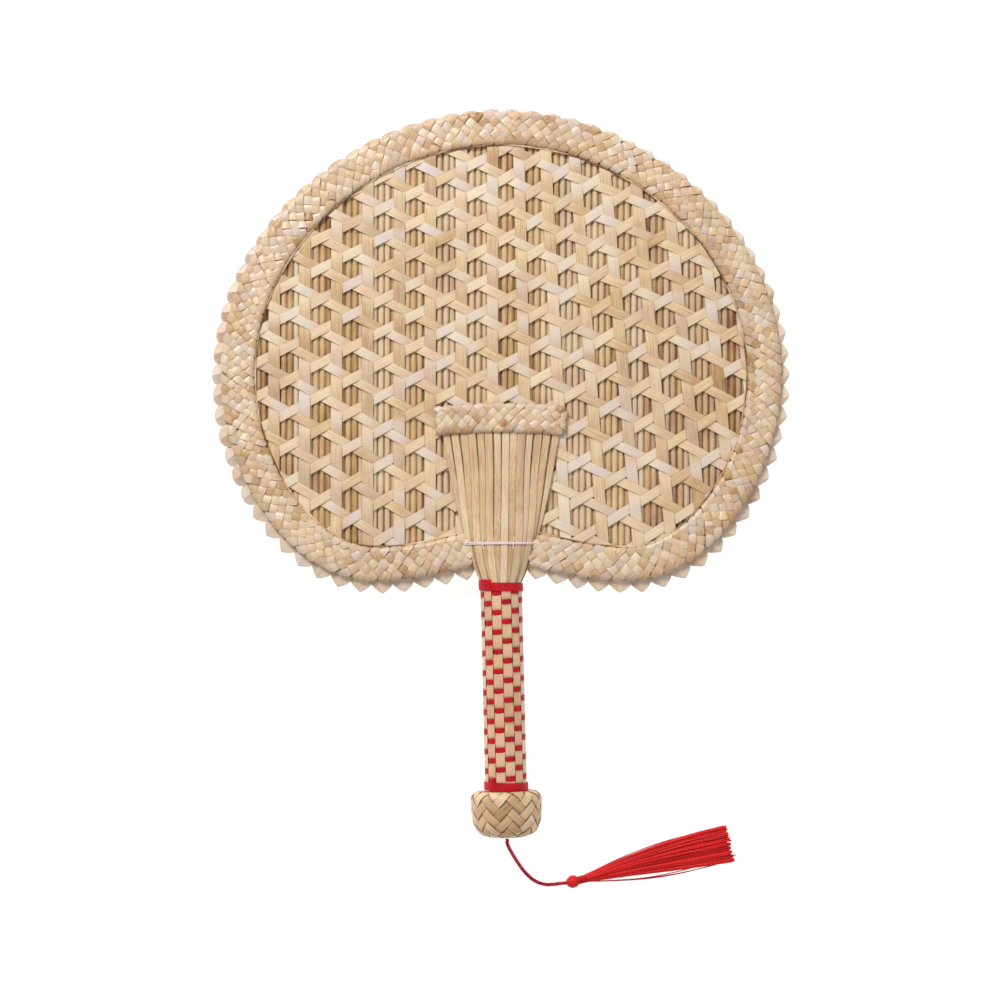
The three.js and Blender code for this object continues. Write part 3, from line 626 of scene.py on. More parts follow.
def straw(name, colours, streak=0.35, grain_length=14, roughness=0.42, edge=0.82, edge_from=0.86, patch=0.1):
    """Split or flattened straw: a smooth waxy skin with fine fibres along it. The eye gets a satin
    strip whose tone changes from piece to piece, thin lighter and darker fibres, and painted shade
    that darkens it towards its edges.
    colours: shade, dark, middle, light and pinkish tones. streak and grain_length: a fibre's width and
    length in mm, the width drawn about four times coarser than real so that it shows at this distance.
    edge: how dark the painted shade at the edge gets, from edge_from of the half width outwards. patch:
    how far the tone of patches 22 mm wide varies."""
    made, tree, shader = material(name)
    shade, dark, middle, light, blush = colours
    run = node(tree, "ShaderNodeUVMap", uv_map="strand_map")
    fibre_space = node(tree, "ShaderNodeMapping", {
        "Vector": run.outputs[0],
        "Scale": (1 / (grain_length * MM), 1 / (streak * MM), 1),
    })
    tone = node(tree, "ShaderNodeAttribute", attribute_name="tone")
    own = node(tree, "ShaderNodeMath", {0: tone.outputs["Fac"], 1: 91.0}, operation="MULTIPLY")
    fibres = node(tree, "ShaderNodeTexNoise", {
        "Vector": fibre_space.outputs[0], "W": own.outputs[0], "Scale": 1.0, "Detail": 3.0, "Roughness": 0.6,
    }, noise_dimensions="4D")
    streaks = node(tree, "ShaderNodeMapRange", {0: fibres.outputs[0], 1: 0.25, 2: 0.75, 3: -0.25, 4: 0.25})
    space = node(tree, "ShaderNodeTexCoord")
    patches = node(tree, "ShaderNodeTexNoise", {
        "Vector": space.outputs["Object"], "Scale": 1 / (22 * MM), "Detail": 2.0, "Roughness": 0.5,
    })
    patch_tone = node(tree, "ShaderNodeMapRange", {
        0: patches.outputs[0], 1: 0.3, 2: 0.7, 3: -patch, 4: patch,
    })
    fold = node(tree, "ShaderNodeAttribute", attribute_name="fold")
    total = tone.outputs["Fac"]
    for part in (streaks.outputs[0], patch_tone.outputs[0], fold.outputs["Fac"]):
        total = node(tree, "ShaderNodeMath", {0: total, 1: part}, operation="ADD").outputs[0]
    body = node(tree, "ShaderNodeValToRGB", {0: total},
                stops=[(0.0, shade), (0.16, dark), (0.55, middle), (1.0, light)])
    pink = node(tree, "ShaderNodeAttribute", attribute_name="blush")
    tinted = node(tree, "ShaderNodeMix", {
        0: pink.outputs["Fac"], MIX_A: body.outputs[0], MIX_B: (*blush, 1),
    }, data_type="RGBA")
    ripeness = node(tree, "ShaderNodeTexNoise", {
        "Vector": space.outputs["Object"], "Scale": 1 / (7 * MM), "Detail": 1.0,
    })
    hue = node(tree, "ShaderNodeMapRange", {0: ripeness.outputs[0], 1: 0.3, 2: 0.7, 3: 0.488, 4: 0.512})
    ripened = node(tree, "ShaderNodeHueSaturation", {
        "Hue": hue.outputs[0], "Color": tinted.outputs[MIX_RESULT],
    })
    # Painted shade: the colour darkens towards the strand's long edges, as its neighbours and gaps would
    # shade it
    across = node(tree, "ShaderNodeAttribute", attribute_name="across")
    off = node(tree, "ShaderNodeMath", {0: across.outputs["Fac"]}, operation="ABSOLUTE")
    rim = node(tree, "ShaderNodeMapRange", {0: off.outputs[0], 1: edge_from, 2: 1.0, 3: 1.0, 4: edge})
    shaded = node(tree, "ShaderNodeMix", {
        0: 1.0, MIX_A: ripened.outputs[0], MIX_B: rim.outputs[0],
    }, data_type="RGBA", blend_type="MULTIPLY")
    gloss = node(tree, "ShaderNodeMapRange", {
        0: fibres.outputs[0], 1: 0.3, 2: 0.7, 3: roughness - 0.08, 4: roughness + 0.1,
    })
    bump = node(tree, "ShaderNodeBump", {
        "Strength": 0.5, "Distance": 0.06 * MM, "Height": fibres.outputs[0],
    })
    tree.links.new(shaded.outputs[MIX_RESULT], shader.inputs["Base Color"])
    tree.links.new(gloss.outputs[0], shader.inputs["Roughness"])
    tree.links.new(bump.outputs[0], shader.inputs["Normal"])
    shader.inputs["IOR"].default_value = 1.5
    return made


def thread(name, light, dark, ply=0.9, roughness=0.75, sheen=0.3, groove=0.45):
    """Twisted cotton or silk thread: soft fibres laid round it. The eye gets fine slanting plies,
    lighter on top with painted light and darker in the grooves with painted shade, with a faint fuzz of
    sheen. ply: the lay's pitch in mm. groove: how dark the painted shade in the grooves is."""
    made, tree, shader = material(name)
    run = node(tree, "ShaderNodeUVMap", uv_map="strand_map")
    slant = node(tree, "ShaderNodeMapping", {
        "Vector": run.outputs[0], "Scale": (1 / (ply * MM), 1 / (ply * MM), 1),
    })
    plies = node(tree, "ShaderNodeTexWave", {
        "Vector": slant.outputs[0], "Scale": 0.35, "Distortion": 0.6, "Detail": 2.0,
    }, wave_type="BANDS", bands_direction="DIAGONAL")
    tone = node(tree, "ShaderNodeAttribute", attribute_name="tone")
    depth = node(tree, "ShaderNodeMath", {0: plies.outputs["Fac"], 1: groove}, operation="MULTIPLY")
    mixed = node(tree, "ShaderNodeMath", {0: depth.outputs[0], 1: tone.outputs["Fac"]}, operation="ADD")
    colour = node(tree, "ShaderNodeValToRGB", {0: mixed.outputs[0]}, stops=[(0.15, dark), (0.95, light)])
    bump = node(tree, "ShaderNodeBump", {
        "Strength": 0.6, "Distance": 0.05 * MM, "Height": plies.outputs["Fac"],
    })
    tree.links.new(colour.outputs[0], shader.inputs["Base Color"])
    tree.links.new(bump.outputs[0], shader.inputs["Normal"])
    shader.inputs["Roughness"].default_value = roughness
    shader.inputs["Specular IOR Level"].default_value = 0.25
    shader.inputs["Sheen Weight"].default_value = sheen
    shader.inputs["Sheen Roughness"].default_value = 0.5
    return made


def ribbon(name, light, dark):
    """Woven polyester ribbon: fine cross ribs of thread. The eye gets a deep red with small ribs across
    it and a soft satin shine. The ribs are drawn 0.45 mm apart, twice as coarse as real ones."""
    made, tree, shader = material(name)
    run = node(tree, "ShaderNodeUVMap", uv_map="strand_map")
    ribs = node(tree, "ShaderNodeTexWave", {
        "Vector": run.outputs[0], "Scale": 0.314 / (0.45 * MM) / 2, "Distortion": 0.4, "Detail": 1.0,
    }, wave_type="BANDS", bands_direction="X")
    space = node(tree, "ShaderNodeTexCoord")
    wear = node(tree, "ShaderNodeTexNoise", {
        "Vector": space.outputs["Object"], "Scale": 1 / (6 * MM), "Detail": 3.0,
    })
    tone = node(tree, "ShaderNodeAttribute", attribute_name="tone")
    worn = node(tree, "ShaderNodeMath", {0: wear.outputs[0], 1: tone.outputs["Fac"]}, operation="MULTIPLY")
    ribbed = node(tree, "ShaderNodeMath", {0: ribs.outputs["Fac"], 1: 0.25}, operation="MULTIPLY")
    total = node(tree, "ShaderNodeMath", {0: worn.outputs[0], 1: ribbed.outputs[0]}, operation="ADD")
    colour = node(tree, "ShaderNodeValToRGB", {0: total.outputs[0]}, stops=[(0.1, dark), (0.65, light)])
    bump = node(tree, "ShaderNodeBump", {
        "Strength": 0.5, "Distance": 0.06 * MM, "Height": ribs.outputs["Fac"],
    })
    tree.links.new(colour.outputs[0], shader.inputs["Base Color"])
    tree.links.new(bump.outputs[0], shader.inputs["Normal"])
    shader.inputs["Roughness"].default_value = 0.55
    shader.inputs["Specular IOR Level"].default_value = 0.25
    return made


def stalk_skin(name, colours):
    """Whole dried stalks, for the bundle's own solid: streaks 1 mm wide and 60 mm long along the
    handle. The eye gets brown-gold ribs in the dark between the straws."""
    made, tree, shader = material(name)
    space = node(tree, "ShaderNodeTexCoord")
    stretched = node(tree, "ShaderNodeMapping", {
        "Vector": space.outputs["Object"], "Scale": (1 / (1.0 * MM), 1 / (60 * MM), 1 / (1.0 * MM)),
    })
    streaks = node(tree, "ShaderNodeTexNoise", {"Vector": stretched.outputs[0], "Scale": 1.0, "Detail": 3.0})
    dark, middle, light = colours
    colour = node(tree, "ShaderNodeValToRGB", {0: streaks.outputs[0]},
                  stops=[(0.3, dark), (0.5, middle), (0.75, light)])
    bump = node(tree, "ShaderNodeBump", {
        "Strength": 0.8, "Distance": 0.3 * MM, "Height": streaks.outputs[0],
    })
    tree.links.new(colour.outputs[0], shader.inputs["Base Color"])
    tree.links.new(bump.outputs[0], shader.inputs["Normal"])
    shader.inputs["Roughness"].default_value = 0.6
    return made


def backdrop(name, colour):
    """Matt white acrylic, lit from behind as on a product table: the eye gets an even pale ground with
    the faintest tooth, 0.8 mm across, and only a light shadow."""
    made, tree, shader = material(name)
    space = node(tree, "ShaderNodeTexCoord")
    tooth = node(tree, "ShaderNodeTexNoise", {"Vector": space.outputs["Object"], "Scale": 1 / (0.8 * MM)})
    bump = node(tree, "ShaderNodeBump", {
        "Strength": 0.1, "Distance": 0.02 * MM, "Height": tooth.outputs[0],
    })
    tree.links.new(bump.outputs[0], shader.inputs["Normal"])
    shader.inputs["Base Color"].default_value = (*(0.5 * c for c in colour), 1)
    shader.inputs["Emission Color"].default_value = (*colour, 1)
    shader.inputs["Emission Strength"].default_value = 0.85
    shader.inputs["Roughness"].default_value = 0.9
    return made


# Sizes and colours a user would change


def length(name, description, millimetres):
    return bpy.props.FloatProperty(
        name=name, description=description, default=millimetres * MM, min=0, unit="LENGTH", precision=4)


def colour(name, description, code):
    return bpy.props.FloatVectorProperty(
        name=name, description=description, default=linear(code), min=0, max=1, size=3, subtype="COLOR")


class StrawFanSizes(bpy.types.PropertyGroup):
    """Sizes of the fan's straws, ribbon and threads"""

    stalk_diameter: length("Stalk diameter", "Width of the round stalks behind the net", 2.95)
    stalk_pitch: length("Stalk pitch", "Distance from one stalk to the next", 3.25)
    upright_width: length("Upright width", "Width of the net's upright strips", 5.7)
    slant_width: length("Slant width", "Width of the net's slanting strips", 4.7)
    net_thickness: length("Net strip thickness", "Thickness of the net's strips", 0.34)
    net_lift: length("Net lift", "How far a strip rises and dips as it crosses the others", 0.34)
    border_width: length("Border width", "Width of the border plait", 18)
    border_strand: length("Border strand", "Width of one strand of the border plait", 4.1)
    plait_thickness: length("Plait strand thickness", "Thickness of a plaited strand", 0.5)
    plait_lift: length("Plait lift", "How far a plaited strand rises and dips", 0.4)
    cap_strand: length("Cap strand", "Width of one strand of the cap plait", 3.6)
    cap_width: length("Cap plait width", "Width of the plait over the ends of the splay", 15)
    splay_thickness: length("Splay straw thickness", "Thickness of the splay's straws", 0.6)
    warp_width: length("Handle strip width", "Width of the straw strips along the handle", 4.6)
    ribbon_width: length("Ribbon width", "Width of the red ribbon woven through the handle", 2.4)
    ribbon_pitch: length("Ribbon pitch", "Distance from one turn of the ribbon to the next", 4.86)
    knob_strip: length("Knob strip", "Width of the strips plaited into the knob", 4.4)
    tie_thread: length("Tie thread", "Diameter of the white thread across the splay", 0.75)
    tassel_thread: length("Tassel thread", "Diameter of one thread of the tassel", 0.5)
    tassel_count: bpy.props.IntProperty(
        name="Tassel threads", description="How many threads hang from the neck", default=260, min=10)


class StrawFanColours(bpy.types.PropertyGroup):
    """Colours of the fan's straws, ribbon and threads"""

    straw_light: colour("Light straw", "Lightest tone of the flat straw", "F6E6CA")
    straw_middle: colour("Middle straw", "Middle tone of the flat straw", "E2C39A")
    straw_dark: colour("Dark straw", "Darker tone of the flat straw", "B98F5E")
    # Straw shade is the brown of some dark fibres, and mostly painted shade in grooves, gaps and diving ends
    straw_shade: colour("Straw shade", "Brown of turned-under edges and old fibres", "7C5230")
    # Straw sheen is the skin's pinkish grey, and also painted as highlights on some of the net's bends
    straw_blush: colour("Straw sheen", "Pinkish grey of the straw's waxy skin", "DECDC1")
    stalk_light: colour("Light stalk", "Lightest tone of the round stalks", "E6CDA0")
    stalk_middle: colour("Middle stalk", "Middle tone of the round stalks", "D2AC78")
    stalk_dark: colour("Dark stalk", "Darkest tone of the round stalks", "A27644")
    warp_light: colour("Light handle strip", "Lightest tone of the strips along the handle", "F1D4B0")
    warp_middle: colour("Middle handle strip", "Middle tone of the strips along the handle", "DCAE86")
    warp_blush: colour("Handle strip blush", "Pink that the ribbon casts on the strips beside it", "E6B8A0")
    knob_light: colour("Light knob straw", "Lightest tone of the knob's strips", "F8E0BC")
    knob_middle: colour("Middle knob straw", "Middle tone of the knob's strips", "DAB388")
    knob_dark: colour("Dark knob straw", "Darkest tone of the knob's strips", "A67C50")
    ribbon_light: colour("Light ribbon", "Lit red of the ribbon", "CC0A1E")
    ribbon_dark: colour("Dark ribbon", "Shaded red of the ribbon", "820412")
    thread_light: colour("White thread", "Lit white of the thread ties", "F4E6E2")
    # Thread shade is painted shade in the thread's grooves
    thread_dark: colour("Thread shade", "Grooves of the white thread", "C9A9A8")
    cord_light: colour("Light cord", "Lit red of the twisted cord", "DC2C48")
    cord_dark: colour("Dark cord", "Shaded red of the twisted cord", "94122E")
    tassel_light: colour("Light tassel", "Lit red of the tassel", "FB2422")
    tassel_dark: colour("Dark tassel", "Shaded red of the tassel", "B00A12")
    ground: colour("Ground", "Pale ground under the fan", "FAFAFA")


def sizes():
    """The sizes in millimetres, by name."""
    group = bpy.context.scene.straw_fan_sizes
    names = [n for n in StrawFanSizes.__annotations__ if n != "tassel_count"]
    return {n: getattr(group, n) / MM for n in names}


def colours():
    """The colours, linear, by name."""
    group = bpy.context.scene.straw_fan_colours
    return {n: tuple(getattr(group, n)) for n in StrawFanColours.__annotations__}


FINISHES = {}


def finishes():
    """Every material by a short name, made once."""
    if not FINISHES:
        c = colours()
        flat = (c["straw_shade"], c["straw_dark"], c["straw_middle"], c["straw_light"], c["straw_blush"])
        pressed = (c["straw_shade"], c["straw_dark"], c["warp_middle"], c["warp_light"], c["warp_blush"])
        whole = (c["stalk_dark"], c["stalk_middle"], c["stalk_light"])
        knob = (c["straw_shade"], c["knob_dark"], c["knob_middle"], c["knob_light"], c["knob_light"])
        FINISHES.update({
            "net": straw("Wheat straw, split and pressed flat", flat, edge=0.74, edge_from=0.88),
            "stalk": straw("Wheat stalk, whole and dried", (c["straw_shade"], *whole, c["straw_blush"]),
                           streak=0.5, roughness=0.5, edge=0.5, edge_from=0.7, patch=0.2),
            "plait": straw("Wheat straw, soaked and plaited", flat,
                           streak=0.3, grain_length=9, roughness=0.38, edge=0.7, edge_from=0.88),
            "splay": straw("Wheat straw, long split lengths", flat,
                           streak=0.4, grain_length=40, roughness=0.4, edge=0.4, edge_from=0.84),
            "warp": straw("Wheat straw, pressed handle strips", pressed,
                          grain_length=12, edge=0.88, edge_from=0.8),
            "knob": straw("Wheat straw, thick sun-dried leaf", knob,
                          streak=0.4, grain_length=10, roughness=0.5, edge=0.36, edge_from=0.84),
            "core": stalk_skin("Wheat stalks, bundled", whole),
            "ribbon": ribbon("Polyester ribbon, woven", c["ribbon_light"], c["ribbon_dark"]),
            "thread": thread("Cotton thread, white", c["thread_light"], c["thread_dark"]),
            "cord": thread("Cotton cord, twisted", c["cord_light"], c["cord_dark"], ply=0.7, sheen=0.1),
            "tassel": thread("Rayon tassel thread", c["tassel_light"], c["tassel_dark"],
                             ply=1.2, roughness=0.5, sheen=0.05, groove=0.12),
            "backdrop": backdrop("Acrylic, matt white and lit", c["ground"]),
        })
    return FINISHES


# Blade


def net_plan(column, row):
    """Where a point of the net's regular grid lies on the blade: the rows open downwards, and the right
    half leans and lies higher."""
    x = NET_FIRST_COLUMN + NET_COLUMN * column
    y = NET_FIRST_ROW - NET_ROW * row - NET_ROW_GROWTH * row ** 3
    lean = 1 - (1 - np.clip(x / NET_LEAN_FULL, 0, 1)) ** 2
    lift = lerp(*NET_LIFTS, smoothstep(y, *NET_LIFT_BETWEEN)) * smoothstep(x, 0, NET_LEAN_FULL)
    return np.column_stack([x + NET_LEAN * (NET_LEAN_FROM - y) * lean, y + lift])


def net_strands(family, face, edge, lift, rng):
    """One of the net's three families of strips: rising or falling to the right, or upright. The tone
    and the sheen change each time a strip dives under the others, and some of its bends get a painted
    highlight."""
    made = []
    for number in range(*NET_STRIPS):
        if family == "upright":
            row = np.arange(*NET_ROWS, NET_STEP)
            column = np.full(len(row), number + 0.5)
            over = row - 0.5 + (number + 0.5) / 2
        else:
            column = np.arange(*NET_COLUMNS, NET_STEP)
            slope = -0.5 if family == "rising" else 0.5
            row = slope * column + 0.5 + number
            over = column if family == "rising" else column + 0.5
        drift = rng.normal(0, 0.22)
        plan = net_plan(column, row) + ([drift, 0] if family == "upright" else [0, drift])
        level = NET_LEVEL + lift * plateau(np.cos(2 * math.pi * over))
        base = NET_SHEEN_TONES[family] + rng.normal(0, 0.04)
        turn = np.floor(over + 0.5).astype(int)
        turn -= turn.min()
        count = turn.max() + 1
        tones = base + rng.normal(0, 0.08, count)
        pinks = np.clip(rng.normal(0.06, 0.18, count), 0, 0.5)
        # Painted highlight: some bends get a pale pinkish patch and a lighter tone, where they would catch
        # the light
        bend = np.exp(-((over - np.round(over) + rng.normal(0, 0.12)) / 0.26) ** 2)
        shine = np.where(rng.random(count) < 0.3, rng.uniform(0.4, 0.9, count), 0)[turn] * bend
        tone = tones[turn] + 0.3 * shine
        blush = np.clip(pinks[turn] + shine, 0, 0.95)
        points = np.column_stack([plan, face * level])
        for first, last in runs(holds(edge, plan) & ~in_throat(plan, UNDER_SPLAY["net"])):
            if last - first > 5:
                made.append(strand(points[first:last], (0, 0, face), tone[first:last], blush[first:last]))
    return made


def upright_lines():
    """The middles of the net's upright strips in plan, from the bottom up."""
    rows = np.linspace(-8, 20, 60)
    return [net_plan(np.full(len(rows), number + 0.5), rows)[::-1] for number in range(-12, 12)]


def stalk_strands(edge, pitch, rng):
    """Round stalks side by side, a little bent and uneven, each cut to the blade, with a dark strand of
    painted shade in each groove between two. They were laid in handfuls, so a few neighbours share one
    tone: riper and brown, or pale and greyish. All grow browner towards the right, and those that meet
    the edge of an upright strip get its painted shadow."""
    made = []
    handfuls = np.repeat(rng.uniform(0.42, 0.9, HANDFULS), rng.integers(2, 6, HANDFULS))
    uprights = upright_lines()
    y = np.arange(2, BLADE_TOP, STALK_STEP)
    for number in range(2 * STALKS_A_SIDE):
        x = (number - STALKS_A_SIDE + 0.5) * pitch + rng.normal(0, 0.06)
        x = x + 0.07 * np.sin(y / rng.uniform(28, 50) + rng.uniform(0, 6))
        knot = y[rng.integers(0, len(y))]
        swell = rng.uniform(0.97, 1.03) + 0.05 * np.exp(-((y - knot) / 1.6) ** 2)
        shared = handfuls[number]
        away = np.min([np.abs(x - np.interp(y, line[:, 1], line[:, 0])) for line in uprights], axis=0)
        tone = shared + rng.normal(0, 0.05) + 0.08 * np.sin(y / 40 + rng.uniform(0, 6))
        # Browner towards the right, and painted shadow where the edge of an upright strip lies beside the
        # stalk
        tone -= 0.12 * smoothstep(x, 10, 80) + UPRIGHT_SHADE * (1 - smoothstep(away, *UPRIGHT_SHADOW))
        blush = np.clip(shared - 0.5 + rng.normal(0, 0.12), 0, 0.5)
        points = np.column_stack([x, y, np.zeros(len(y))])
        for first, last in runs(holds(edge, points) & ~in_throat(points, UNDER_SPLAY["stalks"])):
            if last - first > 1:
                part = slice(first, last)
                made.append(strand(points[part], (0, 0, 1), tone[part], blush, swell[part]))
        groove = points - [pitch / 2, 0, 0]
        for first, last in runs(holds(edge, groove) & ~in_throat(groove, UNDER_SPLAY["grooves"])):
            if last - first > 1:
                # A dark strand in the groove: painted shade between two stalks
                made.append(strand(groove[first:last], (0, 0, 1), 0.1, 0, 0.42))
    return made


def plait_strands(path, face, level, width, lift, advance, keep, rng):
    """A flat plait along a path: two sets of slanting strands that cross over and under one another.
    The middle shows rows of squares, and each edge longer strands, which reach far enough to be tucked
    down round it.
    advance: how far a strand goes along the path for each step across, where the path runs up the sides
    and where it runs across the blade. keep: which points of a strand stay."""
    reach = PLAIT_REACH * width
    column = 2 * reach / PLAIT_STEPS
    tail = width / 2 - TUCK_WIDTH + TUCK_RADIUS * math.pi / 2 - reach
    along = np.arange(-PATH_RUN_ON, lengths_along(path)[-1] + PATH_RUN_ON, PATH_STEP)
    level_run = directions(resample(path, along))[:, 0] ** 2
    travel = np.cumsum(PATH_STEP / lerp(advance[0], advance[1], level_run))
    made = []
    for way in (1, -1):
        for first in np.arange(travel[0] + PLAIT_MARGIN, travel[-1] - 2 * reach - PLAIT_MARGIN, 2 * column):
            own = np.arange(-reach - tail, reach + tail, STRAND_STEP)
            across = way * own
            spot = np.interp(first + reach + own * rng.normal(1, 0.05) + rng.normal(0, 0.36), travel, along)
            middle = resample(path, spot)
            forward = directions(middle)
            outward = np.column_stack([-forward[:, 1], forward[:, 0]])
            place = (across + reach) / column
            wave = plateau(plateau(np.cos(math.pi * np.clip(place, 0, PLAIT_STEPS))))
            plan = middle + outward * (across + rng.normal(0, 0.1))[:, None]
            turn = np.floor(place / 2 + (0.5 if way > 0 else 0)).astype(int)
            turn -= turn.min()
            centre = np.exp(-(across / (1.4 * column)) ** 4)
            # Painted shade: a strand darkens where it dives under the next strand at the ends of its squares
            dive_shade = 0.26 * (1 - smoothstep(way * wave, -0.6, 0.4))
            tones = rng.normal(0, 1, turn.max() + 1)[turn] * lerp(0.08, 0.12, centre)
            tones = tones + lerp(0.35, 0.49, centre) - dive_shade
            pinks = np.clip(rng.normal(0.24, 0.24, turn.max() + 1), 0, 0.8)[turn]
            points = np.column_stack([plan, face * (level + way * lift * wave)])
            swell = 0.97 + 0.1 * np.interp(spot, along, level_run) + rng.normal(0, 0.07) + 0.03 * way * wave
            up = (*rng.normal(0, 0.1, 2), face)
            for low, high in runs(keep(plan)):
                if high - low > 3:
                    part = slice(low, high)
                    made.append(strand(points[part], up, tones[part], pinks[part], swell[part]))
    return made


def tucked(value, height, edge):
    """Bends what lies past an edge down round it. height is measured from the bend's centre."""
    past = np.clip(np.abs(value) - edge, 0, None)
    angle = np.minimum(past / TUCK_RADIUS, math.pi / 2)
    straight = past - angle * TUCK_RADIUS
    across = np.sign(value) * (np.minimum(np.abs(value), edge) + height * np.sin(angle))
    return across, height * np.cos(angle) - straight


def tuck_edges(mesh, path, face, level, half_width, half_length=None):
    """Bends a plait's mesh down round its two long edges, and round its ends where it has a half length."""
    turn, origin = FAN_PLACE
    spots = np.empty(3 * len(mesh.vertices))
    mesh.vertices.foreach_get("co", spots)
    plan = (spots.reshape(-1, 3) - origin) @ turn / MM
    tree = KDTree(len(path))
    for number, (x, y) in enumerate(path):
        tree.insert((x, y, 0), number)
    tree.balance()
    nearest = np.array([tree.find((x, y, 0))[1] for x, y in plan[:, :2]])
    forward = directions(path)[nearest]
    outward = np.column_stack([-forward[:, 1], forward[:, 0]])
    gap = plan[:, :2] - path[nearest]
    height = face * plan[:, 2] - (level - TUCK_RADIUS)
    off, height = tucked(np.sum(gap * outward, axis=1), height, half_width - TUCK_WIDTH)
    ahead = np.sum(gap * forward, axis=1)
    if half_length:
        place = lengths_along(path)[nearest] - lengths_along(path)[-1] / 2
        run, height = tucked(place + ahead, height, half_length - TUCK_WIDTH)
        ahead = run - place
    flat = path[nearest] + outward * off[:, None] + forward * ahead[:, None]
    bent = np.column_stack([flat, face * (height + level - TUCK_RADIUS)])
    mesh.vertices.foreach_set("co", (bent * MM @ turn.T + origin).ravel())
    mesh.update()


def point_height(y):
    """How far the edging's points stand out at a height on the blade."""
    lobe, side, top = POINT_HEIGHTS
    return lerp(lerp(lobe, side, smoothstep(y, 0, WIDEST_AT)), top, smoothstep(y, WIDEST_AT, BLADE_TOP))


def folded_point(name, ridge, near, tip, away, near_flap_shading, away_flap_shading):
    """One folded point of the edging: two flaps on each face that meet along a ridge beside its middle.
    Its across is 1 at the crease where it leaves the plait, which is darker with painted shade. Each
    flap's tone gets its own painted light or shade."""
    rim = [(x, y, 0) for x, y in ((-0.9, -0.56), *near, tip, *away, (-0.9, 0.56))]
    points = ridge + [(x, y, -z) for x, y, z in ridge] + rim
    low, high = 4, 4 + len(rim) - 1
    faces, flap_shadings = [], []
    for top, base, point in ((True, 0, 1), (False, 2, 3)):
        rows = [(base, low, low + 1, point)]
        rows += [(point, i, i + 1) for i in range(low + 1, high - 1)]
        rows += [(point, high - 1, high, base)]
        faces += rows if top else [row[::-1] for row in rows]
        outer = len(rows) - 2 - len(near)
        flap_shadings += [near_flap_shading[0]] + [near_flap_shading[1]] * len(near) + [away_flap_shading[1]] * outer + [away_flap_shading[0]]
    faces += [(0, 2, low), (2, 0, high)]
    flap_shadings += [0, 0]
    mesh = bpy.data.meshes.new(name)
    mesh.from_pydata(points, [], faces)
    run = mesh.attributes.new("strand_map", "FLOAT2", "CORNER")
    spots = [points[corner.vertex_index] for corner in mesh.loops]
    run.data.foreach_set("vector", [v for x, y, z in spots for v in (x * 5 * MM, y * 10 * MM)])
    mesh.attributes.new("fold", "FLOAT", "FACE").data.foreach_set("value", flap_shadings)
    # across drives the plait material's painted edge shade: dark at the crease by the plait, none elsewhere
    edges = [1.0, 0.8, 1.0, 0.8] + [0.6] * len(rim)
    mesh.attributes.new("across", "FLOAT", "POINT").data.foreach_set("value", edges)
    made = bpy.data.objects.new(name, mesh)
    bpy.context.scene.collection.objects.link(made)
    return made


def point_tree():
    """Sets a folded point on every given spot, turned outwards and stretched to its own length and
    width, with a tone and a pinkish sheen of its own."""
    tree = bpy.data.node_groups.new("Folded points", "GeometryNodeTree")
    for name, kind in (("Points", "NodeSocketGeometry"), ("Round point", "NodeSocketObject"),
                       ("Sharp point", "NodeSocketObject"), ("Thickness", "NodeSocketFloat"),
                       ("Material", "NodeSocketMaterial")):
        tree.interface.new_socket(name, in_out="INPUT", socket_type=kind)
    tree.interface.new_socket("Edging", in_out="OUTPUT", socket_type="NodeSocketGeometry")
    given = node(tree, "NodeGroupInput").outputs
    kinds = [node(tree, "GeometryNodeObjectInfo", {"Object": given[name], "As Instance": True})
             for name in ("Sharp point", "Round point")]
    both = node(tree, "GeometryNodeJoinGeometry", {0: kinds[0].outputs["Geometry"]})
    tree.links.new(kinds[1].outputs["Geometry"], both.inputs[0])
    sharp = node(tree, "GeometryNodeInputNamedAttribute", {"Name": "sharp"}, data_type="INT")
    up = node(tree, "GeometryNodeInputNamedAttribute", {"Name": "face_up"}, data_type="FLOAT_VECTOR")
    out = node(tree, "GeometryNodeInputNamedAttribute", {"Name": "outward"}, data_type="FLOAT_VECTOR")
    reach = node(tree, "GeometryNodeInputNamedAttribute", {"Name": "reach"}, data_type="FLOAT")
    pitch = node(tree, "GeometryNodeInputNamedAttribute", {"Name": "pitch"}, data_type="FLOAT")
    turn = node(tree, "FunctionNodeAxesToRotation", {
        0: up.outputs["Attribute"], 1: out.outputs["Attribute"],
    }, primary_axis="Z", secondary_axis="X")
    size = node(tree, "ShaderNodeCombineXYZ", {
        "X": reach.outputs["Attribute"], "Y": pitch.outputs["Attribute"], "Z": given["Thickness"],
    })
    set_out = node(tree, "GeometryNodeInstanceOnPoints", {
        "Points": given["Points"], "Instance": both.outputs[0], "Pick Instance": True,
        "Instance Index": sharp.outputs["Attribute"], "Rotation": turn.outputs[0], "Scale": size.outputs[0],
    })
    toned = set_out
    for name, least, most, seed in (("tone", 0.36, 0.68, 5), ("blush", 0.3, 0.8, 6)):
        shade = node(tree, "FunctionNodeRandomValue", {2: least, 3: most, "Seed": seed}, data_type="FLOAT")
        toned = node(tree, "GeometryNodeStoreNamedAttribute",
                     {"Geometry": toned.outputs[0], "Name": name, "Value": shade.outputs[1]},
                     data_type="FLOAT", domain="INSTANCE")
    whole = node(tree, "GeometryNodeRealizeInstances", {"Geometry": toned.outputs[0]})
    painted = node(tree, "GeometryNodeSetMaterial",
                   {"Geometry": whole.outputs[0], "Material": given["Material"]})
    node(tree, "NodeGroupOutput", {"Edging": painted.outputs[0]})
    return tree


